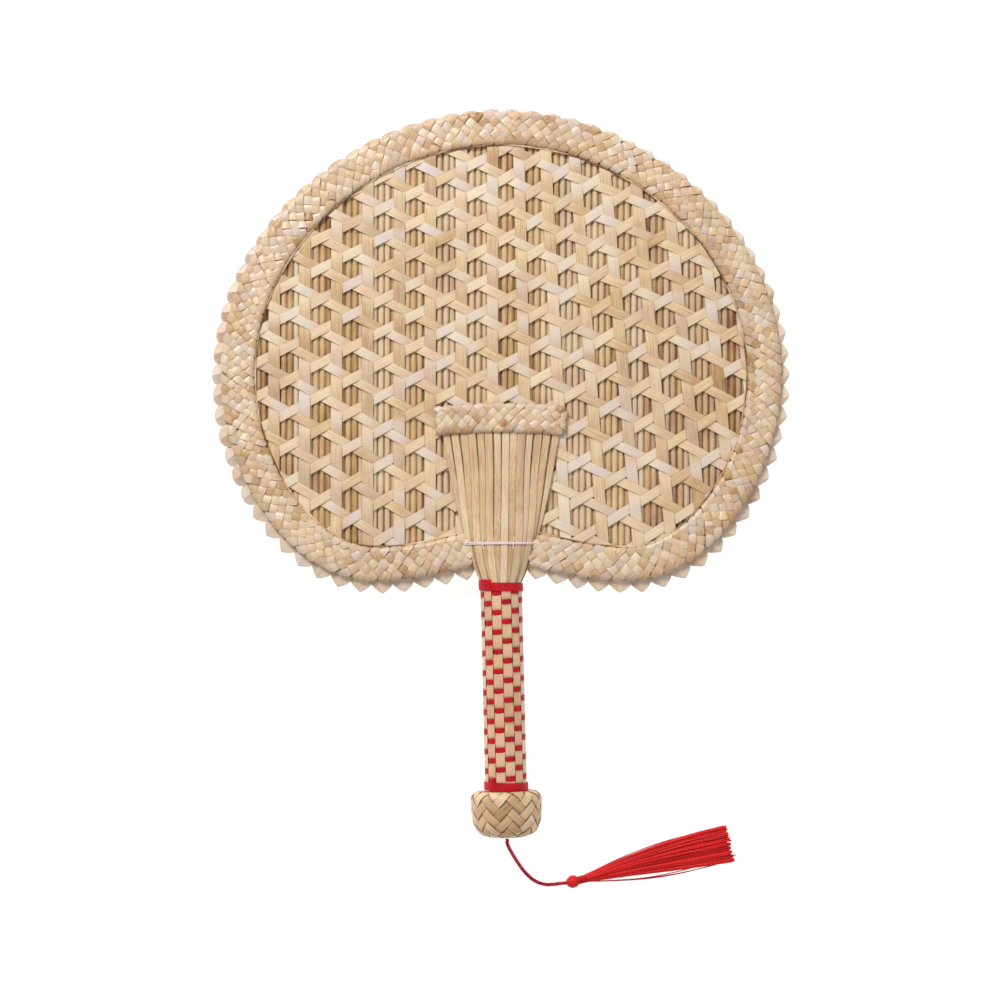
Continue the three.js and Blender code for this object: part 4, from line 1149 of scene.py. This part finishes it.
class BuildStage(bpy.types.Operator):
    """Sets the camera above the fan, the pale ground and the soft studio lights"""

    bl_idname = "straw_fan.stage"
    bl_label = "Stage"

    def execute(self, context):
        scene = context.scene
        lens = bpy.data.cameras.new("Camera")
        lens.lens = LENS
        lens.sensor_width = SENSOR
        lens.clip_start, lens.clip_end = CAMERA_REACH
        camera = bpy.data.objects.new("Camera", lens)
        camera.location = CAMERA_PLACE
        scene.collection.objects.link(camera)
        scene.camera = camera
        scene.view_settings.view_transform = "Standard"
        corners = [(x * GROUND_HALF, y * GROUND_HALF, 0) for x, y in ((-1, -1), (1, -1), (1, 1), (-1, 1))]
        ground = bpy.data.meshes.new("Ground")
        ground.from_pydata(corners, [], [(0, 1, 2, 3)])
        ground.materials.append(finishes()["backdrop"])
        floor = bpy.data.objects.new("Ground", ground)
        scene.collection.objects.link(floor)
        world = bpy.data.worlds.new("Studio")
        world.use_nodes = True
        background = world.node_tree.nodes["Background"]
        background.inputs["Color"].default_value = (1, 1, 1, 1)
        background.inputs["Strength"].default_value = STUDIO_LIGHT
        scene.world = world
        for name, place, size, power in SOFTBOXES:
            light = bpy.data.lights.new(name, "AREA")
            light.size = size
            light.energy = power
            lamp = bpy.data.objects.new(name, light)
            lamp.location = place
            lamp.rotation_euler = (-Vector(place)).to_track_quat("-Z", "Y").to_euler()
            scene.collection.objects.link(lamp)
        return {"FINISHED"}


class BuildStalks(bpy.types.Operator):
    """Lays the round upright stalks in the middle of the blade"""

    bl_idname = "straw_fan.stalks"
    bl_label = "Stalk layer"

    def execute(self, context):
        size = sizes()
        lines = stalk_strands(outline(STALK_INSET), size["stalk_pitch"], np.random.default_rng(11))
        diameter = size["stalk_diameter"]
        sweep("stalk_layer", lines, diameter, STALK_FLATNESS * diameter, finishes()["stalk"],
              ["stalk_mat"], sides=10)
        return {"FINISHED"}


class BuildNets(bpy.types.Operator):
    """Weaves the three-way net on the front and on the back"""

    bl_idname = "straw_fan.nets"
    bl_label = "Nets"

    def execute(self, context):
        size = sizes()
        edge = outline(NET_INSET)
        share = size["slant_width"] / size["upright_width"]
        for side, face in FACES:
            rng = np.random.default_rng(21 + face)
            lines = net_strands("upright", face, edge, size["net_lift"], rng)
            for family in ("rising", "falling"):
                for line in net_strands(family, face, edge, size["net_lift"], rng):
                    line["swell"] *= share
                    lines.append(line)
            sweep(f"{side}_woven_net", lines, size["upright_width"], size["net_thickness"],
                  finishes()["net"], [f"{side}_net"])
        return {"FINISHED"}


class BuildBorderPlaits(bpy.types.Operator):
    """Plaits the wide border on both faces, with a dark strand of painted shadow along its inner edge"""

    bl_idname = "straw_fan.border_plaits"
    bl_label = "Border plaits"

    def execute(self, context):
        size = sizes()
        width = size["border_width"] - BORDER_NARROWER
        path = outline(size["border_width"] / 2 + BORDER_SHIFT, FINE_STEP)
        for side, face in FACES:
            rng = np.random.default_rng(31 + face)
            lines = plait_strands(path, face, BORDER_LEVEL, width, size["plait_lift"], BORDER_ADVANCE,
                                  lambda plan: ~in_throat(plan, UNDER_SPLAY["plait"]), rng)
            sweep(f"{side}_border_braid", lines, size["border_strand"], size["plait_thickness"],
                  finishes()["plait"], [f"{side}_border_plait"],
                  shape=lambda mesh: tuck_edges(mesh, path, face, BORDER_LEVEL, width / 2))
            # A dark strand inside the plait, painted shadow of the plait on the net
            rim = outline(size["border_width"] + RIM_SHIFT)
            rim = rim[~in_throat(rim, UNDER_SPLAY["plait"])]
            along = lengths_along(rim)
            level = RIM_LEVEL + 0.1 * np.sin(along / 5)
            points = np.column_stack([rim + 0.15 * np.sin(along / 6)[:, None], face * level])
            tone = 0.2 + 0.3 * np.sin(along / 11) + 0.2 * np.sin(along / 3.1)
            sweep(f"{side}_inner_rim", [strand(points, (0, 0, face), tone)], RIM_WIDTH, RIM_THICKNESS,
                  finishes()["plait"])
        return {"FINISHED"}


def edging_spots():
    """A mesh of loose points, one for each folded point of the edging, with its size, its kind and its
    turn."""
    path = outline(0)
    total = lengths_along(path)[-1]
    count = int(round(total / POINT_PITCH))
    along = (np.arange(count) + 0.5) * total / count
    spots = resample(path, along)
    marks = np.arange(0, total, 1.0)
    way = directions(resample(path, marks))
    forward = np.column_stack([np.interp(along, marks, way[:, i]) for i in range(2)])
    outward = np.column_stack([-forward[:, 1], forward[:, 0]])
    keep = ~in_throat(spots, UNDER_SPLAY["points"])
    kept = int(keep.sum())
    rng = np.random.default_rng(41)
    height = point_height(spots[:, 1]) * rng.uniform(0.87, 0.98, count)
    reach = np.maximum(height, POINT_DEPTH)
    roots = spots + outward * (height - reach)[:, None]
    turn, origin = FAN_PLACE
    places = np.column_stack([roots, rng.normal(0, 0.2, count)])[keep] * MM @ turn.T + origin
    facing = np.column_stack([outward, rng.normal(0, 0.05, count)])[keep] @ turn.T
    mesh = bpy.data.meshes.new("folded_edging")
    mesh.from_pydata(places.tolist(), [], [])
    widths = total / count * rng.uniform(0.98, 1.1, kept)
    for name, values in (("reach", reach[keep] * MM), ("pitch", widths * MM)):
        mesh.attributes.new(name, "FLOAT", "POINT").data.foreach_set("value", values)
    sharp = (spots[keep][:, 1] < SHARP_BELOW) | (spots[keep][:, 0] > SHARP_FROM)
    mesh.attributes.new("sharp", "INT", "POINT").data.foreach_set("value", sharp.astype(int))
    for name, values in (("face_up", np.tile(turn[:, 2], (kept, 1))), ("outward", facing)):
        mesh.attributes.new(name, "FLOAT_VECTOR", "POINT").data.foreach_set("vector", values.ravel())
    return mesh


class BuildEdging(bpy.types.Operator):
    """Folds the sawtooth edging round the outside of the border"""

    bl_idname = "straw_fan.edging"
    bl_label = "Sawtooth edging"

    def execute(self, context):
        made = bpy.data.objects.new("folded_edging", edging_spots())
        context.scene.collection.objects.link(made)
        kinds = {
            "Round point": folded_point("Round point", **ROUND_POINT),
            "Sharp point": folded_point("Sharp point", **SHARP_POINT),
        }
        values = {**kinds, "Thickness": POINT_THICKNESS * MM, "Material": finishes()["plait"]}
        finish_piece(made, point_tree(), values, "fan", ["sawtooth_edging"])
        for kind in kinds.values():
            bpy.data.objects.remove(kind)
        band = outline(EDGING_INSET)
        band = band[~in_throat(band, UNDER_SPLAY["band"])]
        lines = []
        for level in EDGING_LEVELS:
            lines.append(strand(np.column_stack([band, np.full(len(band), level)]), (0, 0, 1), 0.5, 0.2))
        sweep("edging_band", lines, EDGING_WIDTH, EDGING_THICKNESS, finishes()["plait"])
        return {"FINISHED"}


# Throat


def splay_frame(across, y, level, face):
    """Points on the throat, the outward direction there, and how wide one unit of across is."""
    small = 0.004
    points = splay_place(across, y, level, face)
    side = splay_place(across + small, y, level, face) - splay_place(across - small, y, level, face)
    side = side / (2 * small)
    ahead = splay_place(across, y + small, level, face) - splay_place(across, y - small, level, face)
    up = np.cross(side, ahead) * face
    return points, up / np.linalg.norm(up, axis=1)[:, None], np.linalg.norm(side, axis=1)


def splay_strands(count, face, rng):
    """Flat straws from the top of the handle to under the cap, with gaps that open between them
    upwards. Every second one lies on top and stays wide on its way down, so that the others taper away
    under their neighbours."""
    made = []
    y = np.linspace(0.0, SPLAY_STRAW_TOP, 57)
    for number in range(count):
        gap = rng.uniform(0.05, 0.22) * smoothstep(y, rng.uniform(-8, 40), SPLAY_STRAW_TOP)
        drift = rng.normal(0, 0.12) / count * smoothstep(y, 5, 80)
        drift = drift + 0.05 / count * np.sin(y / 14 + rng.uniform(0, 6))
        across = np.clip(-1 + (2 * number + 1) / count + drift, -0.985, 0.985)
        on_top = number % 2 == 1
        covered = 0 if on_top else 1 - smoothstep(y, 10, SPLAY_STRAW_TOP)
        level = 0.42 + 0.16 * on_top - 0.14 * covered + 0.05 * np.sin(y / 9 + number)
        points, up, spacing = splay_frame(across, y, level, face)
        own = spacing * 2 / count * (1.0 - gap) * rng.uniform(0.93, 1.03)
        if on_top and number < count - 1:
            own = lerp(own, own[-1], rng.uniform(0.7, 1.05))
        # Painted shade: the covered straws are darker towards the bottom, where their neighbours lie over
        # them
        tone = rng.normal(0.48, 0.07) + 0.05 * np.sin(y / 21 + rng.uniform(0, 6)) - 0.14 * covered
        blush = np.clip(rng.normal(0.05, 0.12), 0, 0.3)
        made.append(strand(points, up, tone, blush, own / SPLAY_STRAW_WIDTH))
    return made


class BuildSplay(bpy.types.Operator):
    """Spreads the flat straws over both faces of the throat"""

    bl_idname = "straw_fan.splay"
    bl_label = "Splayed straws"

    def execute(self, context):
        size = sizes()
        for side, face in FACES:
            count = SPLAY_STRAWS[side]
            lines = splay_strands(count, face, np.random.default_rng(51 + face))
            sweep(f"{side}_splay", lines, SPLAY_STRAW_WIDTH, size["splay_thickness"], finishes()["splay"],
                  [f"{side}_splay_straw_{number + 1:02d}" for number in range(count)])
        for name in ("stalk_bundle", "knob_filling"):
            mesh = frame["nodes"][name].data
            mesh.materials.clear()
            mesh.materials.append(finishes()["core"])
        return {"FINISHED"}


class BuildCaps(bpy.types.Operator):
    """Plaits the caps over the ends of the splayed straws"""

    bl_idname = "straw_fan.caps"
    bl_label = "Cap plaits"

    def execute(self, context):
        size = sizes()
        width = size["cap_width"]
        x = np.linspace(-CAP_HALF_WIDTH, CAP_HALF_WIDTH, 133)
        path = np.column_stack([x, CAP_MIDDLE - CAP_DROP * (x / CAP_HALF_WIDTH) ** 2])
        path = resample(path, np.arange(0, lengths_along(path)[-1], FINE_STEP))
        for side, face in FACES:
            rng = np.random.default_rng(61 + face)
            lines = plait_strands(path, face, CAP_LEVEL, width, size["plait_lift"], CAP_ADVANCE,
                                  lambda plan: np.abs(plan[:, 0]) < CAP_HALF_WIDTH, rng)
            for line in lines:
                line["tone"] -= CAP_DARKER
            sweep(f"{side}_cap_braid", lines, size["cap_strand"], size["plait_thickness"],
                  finishes()["plait"], [f"{side}_cap_plait"],
                  shape=lambda mesh: tuck_edges(mesh, path, face, CAP_LEVEL, width / 2, CAP_HALF_WIDTH))
        return {"FINISHED"}


def twisted(points, up, offset, pitch, plies):
    """Lines of plies that twist round a line of points."""
    points = np.asarray(points, float)
    along = directions(points)
    side = np.cross(along, up)
    side /= np.linalg.norm(side, axis=1)[:, None]
    top = np.cross(side, along)
    travel = lengths_along(points)
    made = []
    for ply in range(plies):
        angle = 2 * math.pi * (travel / pitch + ply / plies)
        out = side * np.cos(angle)[:, None] + top * np.sin(angle)[:, None]
        made.append((points + offset * out, out))
    return made


class BuildTies(bpy.types.Operator):
    """Lays the white thread across the splay, with its small stitches"""

    bl_idname = "straw_fan.ties"
    bl_label = "Thread ties"

    def execute(self, context):
        thick = sizes()["tie_thread"]
        for side, face in FACES:
            lines = []
            across = np.linspace(-TIE_REACH, TIE_REACH, 150)
            for number, (rise, lean) in enumerate(TIE_LINES):
                y = TIE_Y + rise + lean * across
                points, up, _ = splay_frame(across, y, 1.25 + 0.1 * number, face)
                for ply, out in twisted(points, up, thick * 0.22, 2.2, 2):
                    lines.append(strand(ply, out, 0.75, 0, 0.62))
            y = np.linspace(*STITCH_ENDS, 26)
            lift = 1.2 + 0.75 * np.exp(-((y - TIE_Y) / 1.2) ** 2)
            lift = lift - 0.5 * smoothstep(np.abs(y - STITCH_MIDDLE), 2.4, 3.1)
            for spot in STITCH_SPOTS:
                place = spot / splay_half_width(TIE_Y) * 0.72
                points, up, _ = splay_frame(np.full(len(y), place), y, lift, face)
                points[:, 0] += 0.25 * np.sin(y * 0.9)
                for ply, out in twisted(points, up, thick * 0.2, 2.0, 2):
                    lines.append(strand(ply, out, 0.7, 0, 0.45))
            sweep(f"{side}_thread", lines, thick, thick, finishes()["thread"],
                  [f"{side}_thread_tie"], sides=6)
        return {"FINISHED"}


# Handle and knob


def around(radius, angle, y):
    return np.column_stack([radius * np.cos(angle), y + 0 * angle, radius * np.sin(angle)])


def warp_lines(pitch, rng):
    """The straw strips along the handle. Each goes under the ribbon at every second turn of it, is
    pressed in there and shows again in another tone, with a shadow at the ribbon's edges."""
    lines = []
    y = np.arange(HANDLE_LOW, HANDLE_TOP, 0.5)
    for number in range(WARP_COUNT):
        angle = WARP_TURN + number * 2 * math.pi / WARP_COUNT
        place = (RIBBON_TOP - y) / pitch - number / WARP_COUNT
        nearest = 2 * np.round((place - (number + 1) % 2) / 2) + (number + 1) % 2
        away = (place - nearest) * pitch
        radius = WARP_RADIUS - WEAVE_DEPTH * np.exp(-(away / 1.3) ** 4)
        radius = radius + 0.24 * np.sin(away / pitch * math.pi / 2) ** 2
        segment = ((nearest - nearest.min()) / 2 + (away > 0)).astype(int)
        shadow = 0.3 * np.exp(-((np.abs(away) - 1.3) / 0.9) ** 2)
        tones = rng.normal(0.62, 0.07, segment.max() + 1)
        pinks = np.clip(rng.normal(0.2, 0.1, segment.max() + 1), 0, 0.5)
        points = around(radius, np.full(len(y), angle), y)
        up = (math.cos(angle), 0, math.sin(angle))
        lines.append(strand(points, up, tones[segment] - shadow, pinks[segment], rng.uniform(0.97, 1.02)))
    return lines


def weft_line(pitch):
    """The ribbon that winds round the handle, over one strip and under the next."""
    turns = (RIBBON_TOP - HANDLE_LOW - RIBBON_END_GAP) / pitch
    angle = np.linspace(-math.pi, turns * 2 * math.pi, int((turns + 0.5) * WARP_COUNT * 8))
    spot = angle * WARP_COUNT / (2 * math.pi)
    radius = RIBBON_RADIUS - WEAVE_DEPTH * plateau(plateau(np.cos(math.pi * spot)))
    points = around(radius, angle + WARP_TURN, RIBBON_TOP - pitch * angle / (2 * math.pi))
    return strand(points, around(1, angle + WARP_TURN, 0), 0.8)


def band_line(middle, first, climb, flare):
    """A ribbon laid once round the handle's end, with its own end over its start."""
    share = np.linspace(0, 1, 120)
    angle = math.radians(first) - 2 * math.pi * BAND_TURNS * share
    y = middle + climb * smoothstep(share, 0.78, 0.9) - 0.45 * np.cos(angle)
    swell = 0.92 + flare * smoothstep(share, 0.8, 0.9)
    return strand(around(BAND_RADIUS + 0.4 * share, angle, y), around(1, angle, 0), 0.85, 0, swell)


class BuildHandle(bpy.types.Operator):
    """Weaves the handle: straw strips along it, red ribbon round it, and a ribbon band at each end"""

    bl_idname = "straw_fan.handle"
    bl_label = "Handle"

    def execute(self, context):
        size = sizes()
        pitch = size["ribbon_pitch"]
        strips = warp_lines(pitch, np.random.default_rng(71))
        solids = [f"warp_strip_{number + 1:02d}" for number in range(WARP_COUNT)]
        sweep("handle_strips", strips, size["warp_width"], WARP_THICKNESS,
              finishes()["warp"], solids, HANDLE_PLACE)
        sweep("woven_ribbon", [weft_line(pitch)], size["ribbon_width"], RIBBON_THICKNESS,
              finishes()["ribbon"], ["weft_ribbon"], HANDLE_PLACE)
        for name, *course in BANDS:
            sweep(f"{name}_ribbon_band", [band_line(*course)], BAND_WIDTH, BAND_THICKNESS,
                  finishes()["ribbon"], [f"{name}_red_band"], HANDLE_PLACE)
        return {"FINISHED"}


def knob_line():
    """The knob's side from the inside of its rim to its end, as radius and place along the handle, and
    the way outwards at each point."""
    turn = np.linspace(0, math.pi / 2, 20)
    shoulder = KNOB_RADIUS - KNOB_ROUNDING
    high = KNOB_TOP - KNOB_ROUNDING
    end = KNOB_TOP - KNOB_HEIGHT
    rim = np.column_stack([shoulder + KNOB_ROUNDING * np.sin(turn), high + KNOB_ROUNDING * np.cos(turn)])
    wall = bezier([
        (KNOB_RADIUS, high), (KNOB_RADIUS, KNOB_TOP - KNOB_SIDE_FULLNESS * KNOB_HEIGHT),
        (KNOB_END_FULLNESS * KNOB_RADIUS, end), (0, end),
    ], np.linspace(0, 1, 80))
    line = np.vstack([[(KNOB_MOUTH, KNOB_TOP)], rim, wall[1:]])
    line = resample(line, np.arange(0, lengths_along(line)[-1] - 1, KNOB_STEP))
    along = directions(line)
    out = np.column_stack([-along[:, 1], along[:, 0]])
    return line - KNOB_INSET * out, out


def knob_strands(rng):
    """Strips that spiral down the knob both ways and cross over two and under two, in a new tone each
    time they come up."""
    line, out = knob_line()
    radius = line[:, 0]
    travel = lengths_along(line)
    turned = np.concatenate([[0], np.cumsum(np.diff(travel) / ((radius[1:] + radius[:-1]) / 2))])
    keep = radius > KNOB_END_HOLE
    line, out, radius, turned = line[keep], out[keep], radius[keep], turned[keep]
    crossing = KNOB_STRIPS * turned / math.pi
    lines = []
    for way in (1, -1):
        for number in range(KNOB_STRIPS):
            angle = 2 * math.pi * number / KNOB_STRIPS + way * turned
            spot = 2 * number + way * crossing
            wave = np.clip(1.3 * np.cos(math.pi / 2 * spot - math.pi / 4), -1, 1)
            height = way * KNOB_LIFT * plateau(wave)
            side = line + out * height[:, None]
            points = around(side[:, 0], angle, side[:, 1])
            up = np.column_stack([out[:, 0] * np.cos(angle), out[:, 1], out[:, 0] * np.sin(angle)])
            segment = np.floor(spot / 4 + (0.375 if way > 0 else 0.875)).astype(int)
            segment -= segment.min()
            tones = rng.normal(0.53, 0.13, segment.max() + 1)
            lines.append(strand(points, up, tones[segment], 0, np.clip(radius / 17, 0.16, 1)))
    return lines


class BuildKnob(bpy.types.Operator):
    """Plaits the knob from strips that cross over two and under two"""

    bl_idname = "straw_fan.knob"
    bl_label = "Knob"

    def execute(self, context):
        strips = knob_strands(np.random.default_rng(81))
        sweep("knob_plait", strips, sizes()["knob_strip"], KNOB_STRIP_THICKNESS,
              finishes()["knob"], ["knob_shell"], HANDLE_PLACE)
        return {"FINISHED"}


# Cord and tassel


def cord_line():
    """The cord's centreline on the ground plan: a centripetal curve through the same points as the
    solid's."""
    turn, origin = HANDLE_PLACE
    starts = np.array([(0, y, 0) for y in CORD_STARTS]) * MM @ turn.T + origin
    starts = (starts - GROUND_PLACE[1]) / MM
    marks = np.vstack([starts, np.array(CORD_ENDING, float)])
    marks = np.vstack([2 * marks[0] - marks[1], marks, 2 * marks[-1] - marks[-2]])
    steps = np.sqrt(np.linalg.norm(np.diff(marks, axis=0), axis=1))
    line = []
    for i in range(1, len(marks) - 2):
        a, b, c, d = marks[i - 1:i + 3]
        before, own, after = steps[i - 1:i + 2]
        leave = ((b - a) / before - (c - a) / (before + own) + (c - b) / own) * own
        reach = ((c - b) / own - (d - b) / (own + after) + (d - c) / after) * own
        t = np.linspace(0, 1, 12, endpoint=False)[:, None]
        squared = 3 * (c - b) - 2 * leave - reach
        cubed = 2 * (b - c) + leave + reach
        line.append(b + leave * t + squared * t ** 2 + cubed * t ** 3)
    line = np.vstack([*line, marks[-2:-1]])
    line = resample(line, np.linspace(0, lengths_along(line)[-1], 180))
    line[:, 2] = np.maximum(line[:, 2], CORD_LOWEST)
    return line


def bead_strands():
    """A knot of thread wound over itself into a ball, with a second layer inside that closes its gaps."""
    travel = np.linspace(0, 2 * math.pi * BEAD_LAPS, BEAD_LAPS * 26)
    lean = travel / BEAD_LAPS
    sideways = math.sin(BEAD_TILT)
    axis = np.column_stack([
        np.cos(lean) * sideways, np.sin(lean) * sideways, np.full(len(lean), math.cos(BEAD_TILT)),
    ])
    first = np.cross(axis, (0, 0, 1))
    first /= np.linalg.norm(first, axis=1)[:, None]
    second = np.cross(axis, first)
    ray = first * np.cos(travel)[:, None] + second * np.sin(travel)[:, None]
    centre = np.array(BEAD_CENTRE)
    stretch = np.array(BEAD_STRETCH)
    uneven = (BEAD_OUTER + 0.08 * np.sin(travel * 2.5))[:, None]
    outer = strand(centre + stretch * ray * uneven, ray, 0.5)
    inner = strand(centre + stretch * ray[::2] * BEAD_INNER, ray[::2], 0.35)
    return [outer, inner]


def neck_strand():
    """The thread wound round the tassel's neck."""
    angle = np.linspace(0, NECK_TURNS * 2 * math.pi, NECK_TURNS * 16)
    coil = np.column_stack([
        NECK_START + NECK_LENGTH * angle / angle[-1], NECK_RADIUS * np.cos(angle),
        NECK_HEIGHT + NECK_RADIUS * np.sin(angle),
    ])
    return strand(coil, np.column_stack([0 * angle, np.cos(angle), np.sin(angle)]), 0.22)


def tassel_strands(count, rng):
    """Threads that spread from the neck in loose bundles to a ragged end, with a few that stray from
    the edge."""
    made = []
    for number in range(count):
        share = np.linspace(0, 1, 26)
        bundle = number % SKIRT_BUNDLES
        middle = -1 + (2 * bundle + 1) / SKIRT_BUNDLES
        side = np.clip(middle + rng.normal(0, 0.32) / SKIRT_BUNDLES * 1.5, -0.97, 0.97)
        layer = rng.uniform(0, 1)
        spread = lerp(share, np.sin(share * math.pi / 2), 0.75)
        half = lerp(*SKIRT_HALVES, spread)
        low = np.maximum(0.3, 1.2 * (1 - 4 * share))
        high = np.maximum(2.5, 4.6 - 12 * share)
        gathered = 0.2 * smoothstep(share, 0.1, 0.5) * (1 - smoothstep(share, 0.75, 1))
        wave = 0.22 * np.sin(share * rng.uniform(6, 12) + rng.uniform(0, 6)) * share
        across = half * lerp(side, middle, gathered) + wave + SKIRT_BOW * np.sin(share * math.pi)
        height = low + (high - low) * layer * np.sqrt(1 - 0.75 * side * side)
        reach = SKIRT_LENGTH * rng.uniform(0.965, 1.0) + (rng.random() < 0.03) * rng.uniform(0.5, 2)
        points = np.column_stack([SKIRT_START + share * reach, across, height])
        tone = 0.55 + rng.normal(0, 0.2) + 0.14 * math.cos(bundle * 2.4)
        made.append(strand(points, (0, 0, 1), tone))
    for bow, lift, last, tone in STRAYS:
        share = np.linspace(0, last, 40)
        side = math.copysign(1, bow)
        half = lerp(*STRAY_HALVES, lerp(share, np.sin(share * math.pi / 2), 0.5))
        bowed = bow * np.sin(share / last * math.pi)
        across = side * half * 0.98 + bowed + SKIRT_BOW * np.sin(share * math.pi)
        height = lift + 1.5 * (1 - smoothstep(share, 0, 0.25))
        points = np.column_stack([SKIRT_START + share * SKIRT_LENGTH, across, height])
        made.append(strand(points, (0, 0, 1), tone, 0, 0.75))
    return made


class BuildCord(bpy.types.Operator):
    """Twists the red cord, ties its knot and hangs the tassel on it"""

    bl_idname = "straw_fan.cord"
    bl_label = "Cord and tassel"

    def execute(self, context):
        line = cord_line()
        plies = twisted(line, (0, 0, 1), CORD_PLY_OFFSET, CORD_LAY, len(CORD_PLY_TONES))
        lines = [strand(ply, out, tone) for (ply, out), tone in zip(plies, CORD_PLY_TONES)]
        cord = sweep("twisted_cord", lines, CORD_PLY, CORD_PLY, finishes()["cord"],
                     ["tassel_cord"], GROUND_PLACE, "cord", 8)
        bead = sweep("knot_bead", bead_strands(), BEAD_THREAD, BEAD_THREAD, finishes()["tassel"],
                     ["tassel_bead"], HANGING_PLACE, "tassel", 6)
        neck = sweep("wound_neck", [neck_strand()], NECK_THREAD, NECK_THREAD, finishes()["tassel"],
                     ["tassel_neck"], HANGING_PLACE, "tassel", 6)
        thick = sizes()["tassel_thread"]
        skirt = tassel_strands(context.scene.straw_fan_sizes.tassel_count, np.random.default_rng(91))
        sweep("thread_skirt", skirt, thick, thick, finishes()["tassel"],
              ["tassel_skirt"], HANGING_PLACE, "tassel", 5)
        return {"FINISHED"}


# Sidebar and registration


OPERATORS = [
    BuildStage, BuildCord, BuildStalks, BuildNets, BuildBorderPlaits, BuildEdging, BuildSplay, BuildCaps,
    BuildTies, BuildHandle, BuildKnob,
]


class StrawFanPanel(bpy.types.Panel):
    """Lists the steps that build the fan, and its sizes and colours"""

    bl_idname = "VIEW3D_PT_straw_fan"
    bl_label = "Straw fan"
    bl_space_type = "VIEW_3D"
    bl_region_type = "UI"
    bl_category = "Straw fan"

    def draw(self, context):
        layout = self.layout
        for operator in OPERATORS:
            layout.operator(operator.bl_idname)
        for group in (context.scene.straw_fan_sizes, context.scene.straw_fan_colours):
            for name in group.__annotations__:
                layout.prop(group, name)


CLASSES = [StrawFanSizes, StrawFanColours, *OPERATORS, StrawFanPanel]


def register():
    for made in CLASSES:
        bpy.utils.register_class(made)
    bpy.types.Scene.straw_fan_sizes = bpy.props.PointerProperty(type=StrawFanSizes)
    bpy.types.Scene.straw_fan_colours = bpy.props.PointerProperty(type=StrawFanColours)


def unregister():
    del bpy.types.Scene.straw_fan_sizes
    del bpy.types.Scene.straw_fan_colours
    for made in reversed(CLASSES):
        bpy.utils.unregister_class(made)


def main():
    register()
    for operator in OPERATORS:
        group, name = operator.bl_idname.split(".")
        getattr(getattr(bpy.ops, group), name)()


if __name__ == "__main__":
    main()
